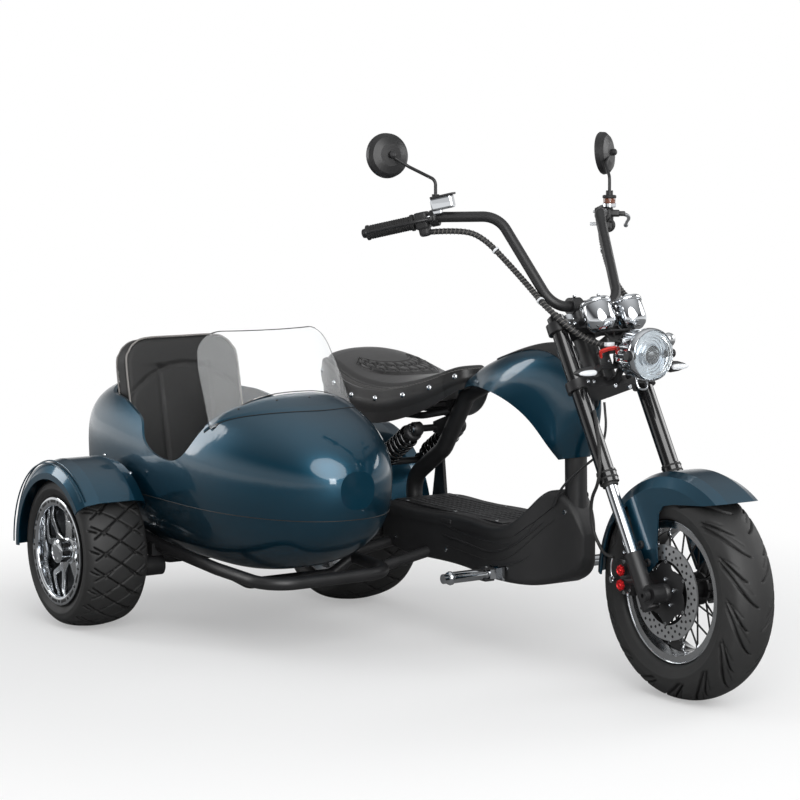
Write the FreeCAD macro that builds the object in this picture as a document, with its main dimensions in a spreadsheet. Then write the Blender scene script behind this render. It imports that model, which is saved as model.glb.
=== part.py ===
# Chopper-style electric scooter with a passenger sidecar on its right-hand side.
# Millimetres, +X forward, +Y to the rider's left, +Z up, origin on the ground under the middle of the whole.
# Shapes are drawn in bike coordinates: x from the front axle, y from the bike's mid-plane, z from the ground.

import FreeCAD, Part
import math
import os
import Sketcher
from FreeCAD import Placement, Rotation, Vector

SIZES = {
    # where the bike stands in the part's own frame
    "front_axle_x": 827, "bike_y": 235, "wheelbase": 1450,
    # front wheel
    "front_tyre_radius": 253, "front_tyre_width": 130, "front_rim_radius": 165, "front_rim_width": 94,
    "front_bead_radius": 152, "bead_drop": 13, "rim_wall": 5, "front_hub_radius": 24,
    "front_hub_flange": 38, "front_hub_width": 84, "spoke_radius": 2.2, "spoke_count": 32,
    "wheel_axle_radius": 8, "bearing_gap": 0.05,
    # brake discs
    "disc_radius": 110, "disc_thickness": 4, "disc_offset": 62, "disc_inner_radius": 72,
    "disc_hole_radius": 3.2, "disc_hole_count": 24, "disc_bore_gap": 4, "carrier_inner_radius": 44,
    "carrier_arms": 6,
    # fork
    "rake": 30, "fork_half_spacing": 97, "axle_lead": 28, "steering_offset": 40, "fork_tube_radius": 20.5,
    "slider_radius": 14.5, "fork_tube_foot": 290, "fork_tube_rise": 16, "slider_foot": 60,
    "axle_bore_radius": 5, "lower_clamp_height": 520, "upper_clamp_height": 672, "clamp_thickness": 24,
    "clamp_wall": 8, "stem_radius": 14, "head_tube_radius": 27, "head_gap": 2, "fit_gap": 0.3,
    # handlebar and what it carries
    "riser_rise": 40.5, "riser_lead": 6.3, "riser_spacing": 72, "bar_radius": 12.7, "bar_bend": 55,
    "grip_radius": 17, "grip_length": 120, "gauge_radius": 36, "gauge_height": 62, "gauge_spacing": 92,
    "mirror_radius": 55, "mirror_stem_radius": 4, "mirror_turn_right": 6, "mirror_turn_left": 33,
    "harness_radius": 7, "hose_radius": 4, "lead_radius": 3, "cord_run_share": 0.45,
    # lamps
    "lamp_radius": 68, "lamp_depth": 86, "lens_depth": 26, "indicator_length": 67, "indicator_radius": 14,
    # mudguards
    "front_guard_radius": 281, "front_guard_half_width": 76, "front_guard_start": 177,
    "front_guard_sweep": 124, "front_guard_lead": 18, "front_guard_drop": 4, "guard_wall": 3.5,
    "front_guard_skirt": 58, "rear_guard_radius": 264, "rear_guard_half_width": 118,
    "rear_guard_start": 152, "rear_guard_sweep": 142, "rear_guard_skirt": 214, "side_guard_radius": 240,
    "side_guard_start": 183, "side_guard_sweep": 145, "side_guard_skirt": 190, "side_guard_outer": 106,
    "side_guard_inner": 92,
    # rear wheel
    "rear_tyre_radius": 238, "rear_tyre_width": 205, "rear_rim_radius": 165, "rear_rim_width": 168,
    "motor_width": 132,
    # sidecar wheel
    "side_tyre_radius": 203, "side_tyre_width": 176, "side_rim_radius": 141, "side_rim_width": 172,
    "side_axle_x": -1518, "side_wheel_y": -772, "side_spokes": 5, "side_hub_radius": 40,
    "side_axle_radius": 12,
    # main frame, battery box and tank cover
    "frame_tube_radius": 22, "downtube_radius": 27, "box_top": 325, "box_half_width": 110, "box_lip": 4,
    "lip_height": 26, "lid_height": 3, "cover_wall": 3.5, "pad_thickness": 4, "peg_radius": 12,
    "peg_length": 150,
    # saddle and rear suspension
    "shock_radius": 24, "shock_y": 67,
    # sidecar body
    "side_y": -435, "shell_half_width": 246, "shell_wide_x": -1200, "shell_front": 485, "shell_rear": 722,
    "shell_wide_z": 430, "shell_top": 228, "shell_bottom": 252, "shell_wall": 6, "seam_z": 355,
    "side_tube_radius": 16, "strut_radius": 14, "screen_thickness": 4, "screen_corner": 70,
}

doc = FreeCAD.newDocument("sidecar_motorcycle")
sheet = doc.addObject("Spreadsheet::Sheet", "dims")
for row, (word, value) in enumerate(SIZES.items(), start=1):
    sheet.set(f"A{row}", word)
    sheet.set(f"B{row}", str(value))
    sheet.setAlias(f"B{row}", word)
doc.recompute()


class Read:
    """Reads a size by its word in the sheet."""

    def __getattr__(self, word):
        return float(sheet.get(word))


size = Read()
BIKE = ("dims.front_axle_x", "dims.bike_y", "0")
X, Y, Z = Vector(1, 0, 0), Vector(0, 1, 0), Vector(0, 0, 1)
parts = []


def number(expression):
    return float(sheet.evalExpression(expression))


def keep(item, label):
    """Lists an object as a sub-part under its own name."""
    item.Label = label
    parts.append(item)
    return item


def seat(item, where, rotation=Rotation()):
    """Places an object at a point of the sheet's own sizes."""
    item.Placement = Placement(Vector(*[number(text) for text in where]), rotation)
    for axis, text in zip("xyz", where):
        item.setExpression(f"Placement.Base.{axis}", text)


def shaped(label, shape, where=BIKE):
    """A sub-part whose form comes from a sweep, a loft or joined solids, in bike coordinates."""
    item = doc.addObject("Part::Feature", label)
    item.Shape = shape
    seat(item, where)
    return keep(item, label)


def body_sketch(body, name, plane, corners):
    """A closed outline of straight edges in one origin plane, each corner tied to the sheet."""
    sketch = body.newObject("Sketcher::SketchObject", name)
    base = [item for item in body.Origin.OriginFeatures if item.Role == plane][0]
    sketch.AttachmentSupport = [(base, "")]
    sketch.MapMode = "FlatFace"
    points = [Vector(number(across), number(up), 0) for across, up in corners]
    count = len(points)
    for index in range(count):
        sketch.addGeometry(Part.LineSegment(points[index], points[(index + 1) % count]), False)
    for index in range(count):
        sketch.addConstraint(Sketcher.Constraint("Coincident", index, 2, (index + 1) % count, 1))
    for index, corner in enumerate(corners):
        for kind, text, value in (("DistanceX", corner[0], points[index].x),
                                  ("DistanceY", corner[1], points[index].y)):
            if text == "0":
                axis = -2 if kind == "DistanceX" else -1
                sketch.addConstraint(Sketcher.Constraint("PointOnObject", index, 1, axis))
                continue
            place = sketch.addConstraint(Sketcher.Constraint(kind, -1, 1, index, 1, value))
            sketch.setExpression(f"Constraints[{place}]", text)
    return sketch


def round_sketch(body, name, centre, radius):
    """One circle in a body's own XY plane, tied to the sheet; the centre is a pair of sizes."""
    sketch = body.newObject("Sketcher::SketchObject", name)
    base = [item for item in body.Origin.OriginFeatures if item.Role == "XY_Plane"][0]
    sketch.AttachmentSupport = [(base, "")]
    sketch.MapMode = "FlatFace"
    middle = Vector(number(centre[0]), number(centre[1]), 0)
    sketch.addGeometry(Part.Circle(middle, Z, number(radius)), False)
    place = sketch.addConstraint(Sketcher.Constraint("Radius", 0, number(radius)))
    sketch.setExpression(f"Constraints[{place}]", radius)
    if centre == CENTRE:
        sketch.addConstraint(Sketcher.Constraint("Coincident", 0, 3, -1, 1))
        return sketch
    for kind, text, value in (("DistanceX", centre[0], middle.x), ("DistanceY", centre[1], middle.y)):
        place = sketch.addConstraint(Sketcher.Constraint(kind, -1, 1, 0, 3, value))
        sketch.setExpression(f"Constraints[{place}]", text)
    return sketch


WHEEL_TURN = Rotation(X, -90)
CENTRE = ("0", "0")


def turned(label, outline, where, rotation=WHEEL_TURN, sweep="360"):
    """A body of revolution: the outline gives (radius, offset along the axis) pairs."""
    body = doc.addObject("PartDesign::Body", label)
    sketch = body_sketch(body, label + "_outline", "XZ_Plane", outline)
    turn = body.newObject("PartDesign::Revolution", label + "_turn")
    turn.Profile = sketch
    turn.ReferenceAxis = (sketch, ["V_Axis"])
    turn.Angle = number(sweep)
    turn.setExpression("Angle", sweep)
    seat(body, where, rotation)
    return keep(body, label)


def cut_through(body, name, sketch, depth):
    """A pocket through a plate that lies across its body's own XY plane."""
    pocket = body.newObject("PartDesign::Pocket", name)
    pocket.Profile = sketch
    pocket.SideType = "Symmetric"
    pocket.Length = number(depth)
    pocket.setExpression("Length", depth)
    body.Tip = pocket
    return pocket


def ring_of(body, name, feature, sketch, count):
    """Repeats a cut round the body's axis."""
    pattern = body.newObject("PartDesign::PolarPattern", name)
    pattern.Originals = [feature]
    pattern.Axis = (sketch, ["N_Axis"])
    pattern.Angle = 360
    pattern.Occurrences = int(number(count))
    pattern.setExpression("Occurrences", count)
    body.Tip = pattern


def joined(shapes):
    """One solid from pieces that overlap."""
    whole = shapes[0].multiFuse(shapes[1:])
    return whole.removeSplitter()


def both_sides(shape):
    """A shape and its mirror image across the bike's middle plane, as separate solids."""
    return Part.makeCompound([shape, shape.mirror(Vector(), Y)])


def rod(start, end, radius):
    """A straight round bar between two points."""
    run = end - start
    return Part.makeCylinder(radius, run.Length, start, run)


def path(points, bends):
    """Straight runs joined by tangent arcs, each corner with its own bend radius."""
    edges = []
    start = points[0]
    for before, corner, after, bend in zip(points, points[1:], points[2:], bends):
        back = (before - corner).normalize()
        ahead = (after - corner).normalize()
        half = back.getAngle(ahead) / 2
        setback = bend / math.tan(half)
        middle = corner + (back + ahead).normalize() * (bend / math.sin(half))
        crown = middle + (corner - middle).normalize() * bend
        enter, leave = corner + back * setback, corner + ahead * setback
        edges.append(Part.LineSegment(start, enter).toShape())
        edges.append(Part.Arc(enter, crown, leave).toShape())
        start = leave
    edges.append(Part.LineSegment(start, points[-1]).toShape())
    return Part.Wire(edges)


def tube(points, radius, *bends):
    """A round bar or tube bent along a path; one bend radius serves for all corners."""
    corners = len(points) - 2
    route = path(points, bends * corners if len(bends) == 1 else bends)
    ring = Part.Wire([Part.makeCircle(radius, points[0], points[1] - points[0])])
    return route.makePipeShell([ring], True, False)


def slab(outline, width, middle=0):
    """A side-view outline in x and z, as thick as width across the bike."""
    corners = [Vector(across, middle - width / 2, up) for across, up in outline]
    face = Part.Face(Part.makePolygon(corners + corners[:1]))
    return face.extrude(Y * width)


def block(low, high):
    """A box between two corners."""
    spread = high - low
    return Part.makeBox(spread.x, spread.y, spread.z, low)


# The fork's own directions: up along its tubes and forward across them.
tilt = math.radians(size.rake)
UP = Vector(-math.sin(tilt), 0, math.cos(tilt))
AHEAD = Vector(math.cos(tilt), 0, math.sin(tilt))
AXLE = Vector(0, 0, size.front_tyre_radius)
FORK_FOOT = AXLE - AHEAD * size.axle_lead
STEER_FOOT = FORK_FOOT - AHEAD * size.steering_offset


def fork_point(height, ahead=0, side=0):
    """A point by its height along the fork, from the fork tubes' plane and the middle."""
    return FORK_FOOT + UP * height + AHEAD * ahead + Y * side


def steer_point(height, ahead=0, side=0):
    """The same from the steering axis."""
    return STEER_FOOT + UP * height + AHEAD * ahead + Y * side


def tyre(label, word, where):
    """A low tyre with a rounded tread, open at the bead."""
    radius, half = f"dims.{word}_tyre_radius", f"dims.{word}_tyre_width / 2"
    rim, bead = f"dims.{word}_rim_radius", f"dims.{word}_rim_radius - dims.bead_drop + dims.fit_gap"
    seat_half = f"(dims.{word}_rim_width / 2 - dims.rim_wall - 3.5)"
    wall = f"({radius} - {rim})"
    side = [(bead, seat_half), (f"{rim} + 1.5", seat_half), (f"{rim} + 4", f"{half} - 7"),
            (f"{rim} + {wall} * 0.42", half), (f"{rim} + {wall} * 0.72", f"{half} - 4"),
            (f"{radius} - {wall} * 0.1", f"{half} * 0.62"), (radius, f"{half} * 0.22")]
    outline = [(across, f"-({offset})") for across, offset in side] + side[::-1]
    return turned(label, outline, where)


def front_wheel():
    where = ("dims.front_axle_x", "dims.bike_y", "dims.front_tyre_radius")
    tyre("front_tyre", "front", where)
    half = "dims.front_rim_width / 2"
    outline = [("dims.front_rim_radius", f"-{half}"),
               ("dims.front_rim_radius", f"-{half} + dims.rim_wall - 1"),
               ("dims.front_bead_radius", f"-{half} + dims.rim_wall"),
               ("dims.front_bead_radius", f"{half} - dims.rim_wall"),
               ("dims.front_rim_radius", f"{half} - dims.rim_wall + 1"), ("dims.front_rim_radius", half),
               ("dims.front_bead_radius - dims.rim_wall", half),
               ("dims.front_bead_radius - dims.rim_wall - 8", "18"),
               ("dims.front_bead_radius - dims.rim_wall - 8", "-18"),
               ("dims.front_bead_radius - dims.rim_wall", f"-{half}")]
    turned("front_rim", outline, where)
    bore = size.wheel_axle_radius + size.bearing_gap
    reach = size.front_hub_width / 2
    hub = joined([
        Part.makeCylinder(size.front_hub_radius, reach * 2, Vector(0, -reach, 0), Y),
        Part.makeCylinder(size.front_hub_flange, 6, Vector(0, -reach + 6, 0), Y),
        Part.makeCylinder(size.front_hub_flange, 6, Vector(0, reach - 12, 0), Y),
    ])
    inside = size.front_bead_radius - size.rim_wall - 8
    spokes = []
    count = int(size.spoke_count)
    for index in range(count):
        turn = 2 * math.pi * index / count
        side = 1 if index % 2 else -1
        lean = math.radians(16 if (index // 2) % 2 else -16)
        foot = Vector(math.cos(turn + lean) * (size.front_hub_flange - 4), side * (reach - 9),
                      math.sin(turn + lean) * (size.front_hub_flange - 4))
        head = Vector(math.cos(turn) * (inside - 1.2), side * 10, math.sin(turn) * (inside - 1.2))
        spokes.append(rod(foot, head, size.spoke_radius))
    hub = hub.multiFuse(spokes)
    hub = hub.cut(Part.makeCylinder(bore, reach * 2 + 2, Vector(0, -reach - 1, 0), Y))
    shaped("front_hub", hub, where)
    brake_disc("front_disc", (where[0], "dims.bike_y - dims.disc_offset", where[2]))


def brake_disc(label, where):
    """A drilled brake disc: a ring on a spider with open windows and three staggered rows of holes."""
    body = doc.addObject("PartDesign::Body", label)
    pad = body.newObject("PartDesign::Pad", label + "_plate")
    pad.Profile = round_sketch(body, label + "_edge", CENTRE, "dims.disc_radius")
    pad.SideType = "Symmetric"
    pad.Length = number("dims.disc_thickness")
    pad.setExpression("Length", "dims.disc_thickness")
    depth = "dims.disc_thickness * 2"
    bore = round_sketch(body, label + "_bore", CENTRE, "dims.wheel_axle_radius + dims.disc_bore_gap")
    cut_through(body, label + "_bore_cut", bore, depth)
    corners = []
    for word, degrees in (("carrier_inner_radius", -18), ("carrier_inner_radius", 18),
                          ("disc_inner_radius", 22), ("disc_inner_radius", -22)):
        swing = math.radians(degrees)
        corners.append((f"dims.{word} * {math.cos(swing):.4f}", f"dims.{word} * {math.sin(swing):.4f}"))
    window = body_sketch(body, label + "_window", "XY_Plane", corners)
    ring_of(body, label + "_windows", cut_through(body, label + "_window_cut", window, depth), window,
            "dims.carrier_arms")
    for row, inset in enumerate((9, 19, 29)):
        swing = math.pi * (row % 2) / size.disc_hole_count
        centre = (f"(dims.disc_radius - {inset}) * {math.cos(swing):.4f}",
                  f"(dims.disc_radius - {inset}) * {math.sin(swing) + 1e-3:.4f}")
        hole = round_sketch(body, f"{label}_hole_{row}", centre, "dims.disc_hole_radius")
        ring_of(body, f"{label}_holes_{row}", cut_through(body, f"{label}_hole_cut_{row}", hole, depth), hole,
                "dims.disc_hole_count")
    seat(body, where, WHEEL_TURN)
    keep(body, label)


def guard(label, word, half_low, half_high, where, start, trim=()):
    """A domed mudguard turned part of the way about its wheel, its skirts trimmed to a side outline."""
    crown, skirt, wall = f"dims.{word}_guard_radius", f"dims.{word}_guard_skirt", "dims.guard_wall"
    outline = [
        (skirt, f"-{half_low}"), (f"{crown} - 34", f"-{half_low}"), (f"{crown} - 10", f"-{half_low} + 14"),
        (crown, f"-{half_low} * 0.5"), (crown, f"{half_high} * 0.5"), (f"{crown} - 10", f"{half_high} - 14"),
        (f"{crown} - 34", half_high), (skirt, half_high), (skirt, f"{half_high} - {wall}"),
        (f"{crown} - 36", f"{half_high} - {wall}"), (f"{crown} - 10 - {wall}", f"{half_high} - 16"),
        (f"{crown} - {wall}", f"{half_high} * 0.5 - 1"), (f"{crown} - {wall}", f"-{half_low} * 0.5 + 1"),
        (f"{crown} - 10 - {wall}", f"-{half_low} + 16"), (f"{crown} - 36", f"-{half_low} + {wall}"),
        (skirt, f"-{half_low} + {wall}"),
    ]
    rotation = Rotation(Y, -start) * WHEEL_TURN
    body = turned(label, outline, where, rotation, f"dims.{word}_guard_sweep")
    if trim:
        reach = getattr(size, word + "_guard_radius")
        corners = []
        for ahead, lift in trim:
            away, swing = math.hypot(ahead, lift) / reach, math.radians(start) - math.atan2(lift, ahead)
            corners.append((f"{crown} * {away * math.cos(swing):.4f}",
                            f"{crown} * {away * math.sin(swing):.4f}"))
        side = body_sketch(body, label + "_trim", "XY_Plane", corners)
        cut_through(body, label + "_trim_cut", side, f"{half_low} * 2 + {half_high} * 2")


def fork():
    low, high = size.fork_tube_foot, size.upper_clamp_height + size.clamp_thickness + size.fork_tube_rise
    side = size.fork_half_spacing
    upper = rod(fork_point(low, 0, -side), fork_point(high, 0, -side), size.fork_tube_radius)
    collar = rod(fork_point(low - 4, 0, -side), fork_point(low + 26, 0, -side), size.fork_tube_radius + 3)
    bore = rod(fork_point(low - 5, 0, -side), fork_point(low + 60, 0, -side),
               size.slider_radius + size.fit_gap)
    shaped("fork_tubes", both_sides(joined([upper, collar]).cut(bore)))
    inner = rod(fork_point(size.slider_foot + 20, 0, -side), fork_point(low + 50, 0, -side),
                size.slider_radius)
    shaped("fork_sliders", both_sides(inner))
    foot = rod(fork_point(-26, 0, -side), fork_point(size.slider_foot + 50, 0, -side), size.slider_radius + 6)
    lug = rod(AXLE + Y * (-side - 18), AXLE + Y * (-side + 18), 22)
    link = rod(fork_point(6, 0, -side), AXLE + Y * -side, 13)
    socket = rod(fork_point(size.slider_foot + 20, 0, -side), fork_point(size.slider_foot + 51, 0, -side),
                 size.slider_radius + size.fit_gap)
    hole = rod(AXLE + Y * (-side - 30), AXLE + Y * (-side + 30), size.wheel_axle_radius + size.bearing_gap)
    shaped("fork_feet", both_sides(joined([foot, lug, link]).cut(socket).cut(hole)))
    reach = side + 30
    head, collar_depth = 6, 8
    axle = joined([
        rod(AXLE - Y * reach, AXLE + Y * reach, size.wheel_axle_radius),
        rod(AXLE - Y * (reach + head), AXLE - Y * (reach - collar_depth), 14),
        rod(AXLE + Y * (reach - collar_depth), AXLE + Y * (reach + head), 14),
    ])
    hollow = rod(AXLE - Y * (reach + head + 1), AXLE + Y * (reach + head + 1), size.axle_bore_radius)
    shaped("front_axle", axle.cut(hollow))
    shaped("lower_clamp", clamp(size.lower_clamp_height, True))
    shaped("upper_clamp", clamp(size.upper_clamp_height, False))


def clamp(height, with_stem):
    """A fork clamp: two bosses round the tubes and a web to the steering stem."""
    side, thick = size.fork_half_spacing, size.clamp_thickness
    outer = size.fork_tube_radius + size.clamp_wall
    bosses = [rod(fork_point(height, 0, turn * side), fork_point(height + thick, 0, turn * side), outer)
              for turn in (-1, 1)]
    middle = rod(steer_point(height), steer_point(height + thick), size.stem_radius + 14)
    corners = [
        fork_point(height, outer * 0.8, -side), fork_point(height, outer * 0.8, side),
        steer_point(height, -size.stem_radius, 26), steer_point(height, -size.stem_radius, -26),
    ]
    web = Part.Face(Part.makePolygon(corners + corners[:1])).extrude(UP * thick)
    whole = joined(bosses + [middle, web])
    for turn in (-1, 1):
        hole = rod(fork_point(height - 2, 0, turn * side), fork_point(height + thick + 2, 0, turn * side),
                   size.fork_tube_radius + size.fit_gap)
        whole = whole.cut(hole)
    stem_top = size.upper_clamp_height + thick + 8
    if with_stem:
        stem = rod(steer_point(height + thick / 2), steer_point(stem_top), size.stem_radius)
        return joined([whole, stem])
    hole = rod(steer_point(height - 2), steer_point(height + thick + 2), size.stem_radius + size.fit_gap)
    return whole.cut(hole)


def head_tube_ends():
    """How far up the steering axis the head tube runs, between the two clamps."""
    return (size.lower_clamp_height + size.clamp_thickness + size.head_gap,
            size.upper_clamp_height - size.head_gap)


def main_frame():
    """Head tube, wide downtube and one arch tube that runs back and down to the battery box."""
    low, high = head_tube_ends()
    head = rod(steer_point(low), steer_point(high), size.head_tube_radius)
    bore = rod(steer_point(low - 2), steer_point(high + 2), size.stem_radius + size.bearing_gap)
    down = tube([steer_point(low + (high - low) * 0.56), Vector(-412, 0, 690), Vector(-424, 0, 560),
                 Vector(-418, 0, size.box_top)], size.downtube_radius, 60)
    bar = rod(SHOCK_TOP - Y * (size.shock_y + 16), SHOCK_TOP + Y * (size.shock_y + 16), 9)
    lug = slab([(-940, 566), (SHOCK_TOP.x - 12, SHOCK_TOP.z + 14), (SHOCK_TOP.x - 12, SHOCK_TOP.z - 14),
                (-962, 500)], 14)
    return joined([head, arch_tube(), down, bar, lug]).cut(bore)


def arch_tube(grow=0):
    low, high = head_tube_ends()
    points = [steer_point(low + (high - low) * 0.72), Vector(-520, 0, 690), Vector(-740, 0, 678),
              Vector(-880, 0, 620), Vector(-985, 0, 470), Vector(-1125, 0, 380),
              Vector(-1125, 0, size.box_top)]
    return tube(points, size.frame_tube_radius + grow, 70)


# Cross sections of the battery box from its rear to its nose: x, half width, underside and top.
BOX_SECTIONS = [
    (-1118, 104, 222, 318), (-1080, 110, 212, 325), (-860, 110, 203, 325), (-660, 110, 194, 325),
    (-590, 108, 190, 327), (-545, 98, 189, 345), (-505, 80, 190, 384), (-470, 60, 196, 420),
    (-438, 46, 206, 424), (-405, 36, 220, 404), (-378, 26, 242, 364), (-366, 16, 270, 330),
]


def box_wire(x, half, low, high, grow):
    """A section with rounded corners, larger by a margin."""
    half, low, high = half + grow, low - grow, high + grow
    bend = min(16, half * 0.7)
    corners = [Vector(x, side * half, level) for side, level in ((1, low), (1, high), (-1, high), (-1, low))]
    middle = Vector(x, 0, low)
    return path([middle] + corners + [middle], [bend] * 4)


def box_form(grow=0):
    """The battery box's outer form, swelling into a shield round the downtube's foot."""
    return Part.makeLoft([box_wire(*section, grow) for section in BOX_SECTIONS], True, False)


def battery_box():
    top = size.box_top
    rear = PIVOT.x + 32
    band = [(rear - 2, top + 9), (-600, top + 9), (-556, 356), (-500, 412), (-462, 470), (-410, 470),
            (-440, 396), (-488, 352), (-540, 310), (-590, top - size.lip_height),
            (rear - 2, top - size.lip_height)]
    lip = box_form(size.box_lip).common(slab(band, 260))
    lid_top = top + size.box_lip + size.lid_height
    lid = slab([(-1085, top), (-1085, lid_top), (-606, lid_top), (-606, top)], 172)
    ear = [(rear + 6, PIVOT.z - 26), (PIVOT.x, PIVOT.z - 24), (PIVOT.x - 22, PIVOT.z - 10),
           (PIVOT.x - 22, PIVOT.z + 10), (PIVOT.x, PIVOT.z + 24), (rear + 6, PIVOT.z + 26)]
    lugs = [slab(ear, 10, turn * 84) for turn in (-1, 1)]
    pivot = rod(PIVOT - Y * 200, PIVOT + Y * 200, 16 + size.fit_gap)
    foot = tube([Vector(-424, 0, 560), Vector(-421, 0, 440), Vector(-418, 0, top - 1)],
                size.downtube_radius + size.fit_gap, 60)
    whole = joined([box_form(), lip, lid] + lugs)
    return whole.cut(pivot).cut(foot).cut(arch_tube(size.fit_gap))


class Station:
    """One cross section of the tank cover: its crown, its open edge and its half width."""

    def __init__(self, crown, edge, half):
        self.crown, self.edge, self.half = Vector(crown[0], 0, crown[1]), Vector(edge[0], 0, edge[1]), half


COVER = [
    Station((-392, 515), (-440, 505), 40), Station((-352, 610), (-490, 560), 58),
    Station((-372, 730), (-550, 606), 66), Station((-450, 776), (-610, 636), 76),
    Station((-572, 772), (-690, 654), 76), Station((-700, 735), (-756, 656), 60),
    Station((-800, 692), (-820, 648), 42), Station((-872, 656), (-880, 624), 30),
]


def cover_ring(station, inset, reach=1.0):
    """Points over one cover section from one open edge to the other."""
    down = station.edge - station.crown
    rise = down.Length
    toward = Vector(down).normalize()
    half = station.half - inset
    points = []
    steps = 12
    for step in range(steps + 1):
        turn = math.pi * (step / steps - 0.5) * reach
        side = math.sin(turn)
        drop = 1 - abs(math.cos(turn)) ** 0.75
        points.append(station.crown + toward * (inset + drop * (rise - inset)) + Y * side * half)
    return points


def tank_cover():
    wires = []
    for station in COVER:
        outer = cover_ring(station, 0)
        inner = cover_ring(station, size.cover_wall)
        inner.reverse()
        over, under = Part.BSplineCurve(), Part.BSplineCurve()
        over.interpolate(outer)
        under.interpolate(inner)
        wires.append(Part.Wire([over.toShape(), Part.LineSegment(outer[-1], inner[0]).toShape(),
                                under.toShape(), Part.LineSegment(inner[-1], outer[0]).toShape()]))
    cover = Part.makeLoft(wires, True, False)
    cover = cover.cut(rod(steer_point(430), steer_point(770), 44))
    return cover.cut(arch_tube(size.fit_gap))


def tank_pad():
    """The black pad along the top of the tank cover."""
    wires = []
    for station in COVER[2:6]:
        outer = cover_ring(station, -size.pad_thickness, 0.36)
        inner = cover_ring(station, -size.fit_gap, 0.36)
        inner.reverse()
        over, under = Part.BSplineCurve(), Part.BSplineCurve()
        over.interpolate(outer)
        under.interpolate(inner)
        wires.append(Part.Wire([over.toShape(), Part.LineSegment(outer[-1], inner[0]).toShape(),
                                under.toShape(), Part.LineSegment(inner[-1], outer[0]).toShape()]))
    pad = Part.makeLoft(wires, True, False)
    return pad.cut(cover_block(size.fit_gap)).cut(rod(steer_point(430), steer_point(770), 46))


def cover_block(grow):
    """The tank cover's outer form as a solid, larger by a clearance."""
    wires = []
    for station in COVER:
        outer = cover_ring(station, -grow)
        over = Part.BSplineCurve()
        over.interpolate(outer)
        wires.append(Part.Wire([over.toShape(), Part.LineSegment(outer[-1], outer[0]).toShape()]))
    return Part.makeLoft(wires, True, False)


def egg_scale(x):
    """How wide the sidecar's body is at x, as a share of its widest section."""
    reach = size.shell_front if x > size.shell_wide_x else size.shell_rear
    power = 2.2 if x > size.shell_wide_x else 3.0
    share = abs(x - size.shell_wide_x) / reach
    return max(0.0, 1 - share ** power) ** (1 / power)


def egg_wire(x, inset):
    """A closed cross section of the sidecar's body."""
    scale = egg_scale(x)
    half = size.shell_half_width * scale - inset
    top = size.shell_top * scale - inset
    low = size.shell_bottom * scale - inset
    back = min(1.0, max(0.0, (size.shell_wide_x + 150 - x) / 500))
    round_top = 0.86 - 0.22 * back
    points = []
    steps = 24
    for step in range(steps):
        turn = 2 * math.pi * step / steps
        side, lift = math.cos(turn), math.sin(turn)
        corner = round_top if lift > 0 else 0.82
        across = math.copysign(abs(side) ** corner, side) * half
        rise = math.copysign(abs(lift) ** corner, lift) * (top if lift > 0 else low)
        points.append(Vector(x, size.side_y + across, size.shell_wide_z + rise))
    curve = Part.BSplineCurve()
    curve.interpolate(points, PeriodicFlag=True)
    return Part.Wire([curve.toShape()])


def egg(inset):
    front, rear = size.shell_wide_x + size.shell_front - inset, size.shell_wide_x - size.shell_rear + inset
    wires = []
    steps = 22
    for step in range(1, steps):
        share = (1 - math.cos(math.pi * step / steps)) / 2
        wires.append(egg_wire(rear + (front - rear) * share, inset))
    return Part.makeLoft(wires, True, False)


def cockpit_cut():
    """What is cut out of the shell for the passenger, seen from the side."""
    edge = [(-1700, 606), (-1672, 597), (-1560, 588), (-1450, 564), (-1398, 540), (-1378, 506), (-1332, 476),
            (-1262, 462), (-1196, 466), (-1144, 496), (-1104, 548), (-1072, 588), (-1040, 612), (-985, 646)]
    line = Part.BSplineCurve()
    points = [Vector(across, size.side_y - 450, up) for across, up in edge]
    line.interpolate(points)
    top = [points[-1], Vector(points[-1].x + 5, points[-1].y, 900), Vector(points[0].x, points[0].y, 900),
           points[0]]
    sides = [Part.LineSegment(start, end).toShape() for start, end in zip(top, top[1:])]
    return Part.Face(Part.Wire([line.toShape()] + sides)).extrude(Y * 900)


def sidecar_body():
    shell = egg(0).cut(egg(size.shell_wall)).cut(cockpit_cut())
    seam = size.seam_z
    above = block(Vector(-2100, -900, seam), Vector(-500, 100, 1200))
    below = block(Vector(-2100, -900, -10), Vector(-500, 100, seam))
    shaped("sidecar_shell", shell.common(above))
    shaped("sidecar_tub", shell.common(below))


def alloy_rim(label, word, where, hub_half):
    """A deep alloy rim: a turned barrel and hub with broad spokes near the outer face."""
    radius, half = getattr(size, word + "_rim_radius"), getattr(size, word + "_rim_width") / 2
    wall = size.rim_wall
    bead = radius - 13
    barrel = [(radius, -half), (radius, -half + wall), (bead, -half + wall + 3), (bead - 8, -half + 26),
              (bead - 8, half - 26), (bead, half - wall - 3), (radius, half - wall), (radius, half),
              (radius - 6, half), (bead - wall, half - wall - 4), (bead - wall - 8, half - 28),
              (bead - wall - 8, -half + 28), (bead - wall, -half + wall + 4), (radius - 6, -half)]
    ring = Part.Face(Part.makePolygon([Vector(r, offset, 0) for r, offset in barrel + barrel[:1]]))
    ring = ring.revolve(Vector(), Y, 360)
    hub = Part.makeCylinder(size.side_hub_radius, hub_half * 2, Vector(0, -hub_half, 0), Y)
    spokes = []
    for index in range(int(size.side_spokes)):
        for lean in (-13, 13):
            bar = block(Vector(size.side_hub_radius - 8, -hub_half, -9),
                        Vector(bead - wall - 4, -hub_half + 16, 9))
            bar.rotate(Vector(), Y, lean)
            bar.rotate(Vector(), Y, 360 * index / size.side_spokes)
            spokes.append(bar)
    whole = joined([ring, hub] + spokes)
    bore = size.side_axle_radius + size.bearing_gap
    whole = whole.cut(Part.makeCylinder(bore, hub_half * 2 + 2, Vector(0, -hub_half - 1, 0), Y))
    return shaped(label, whole, where)


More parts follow.
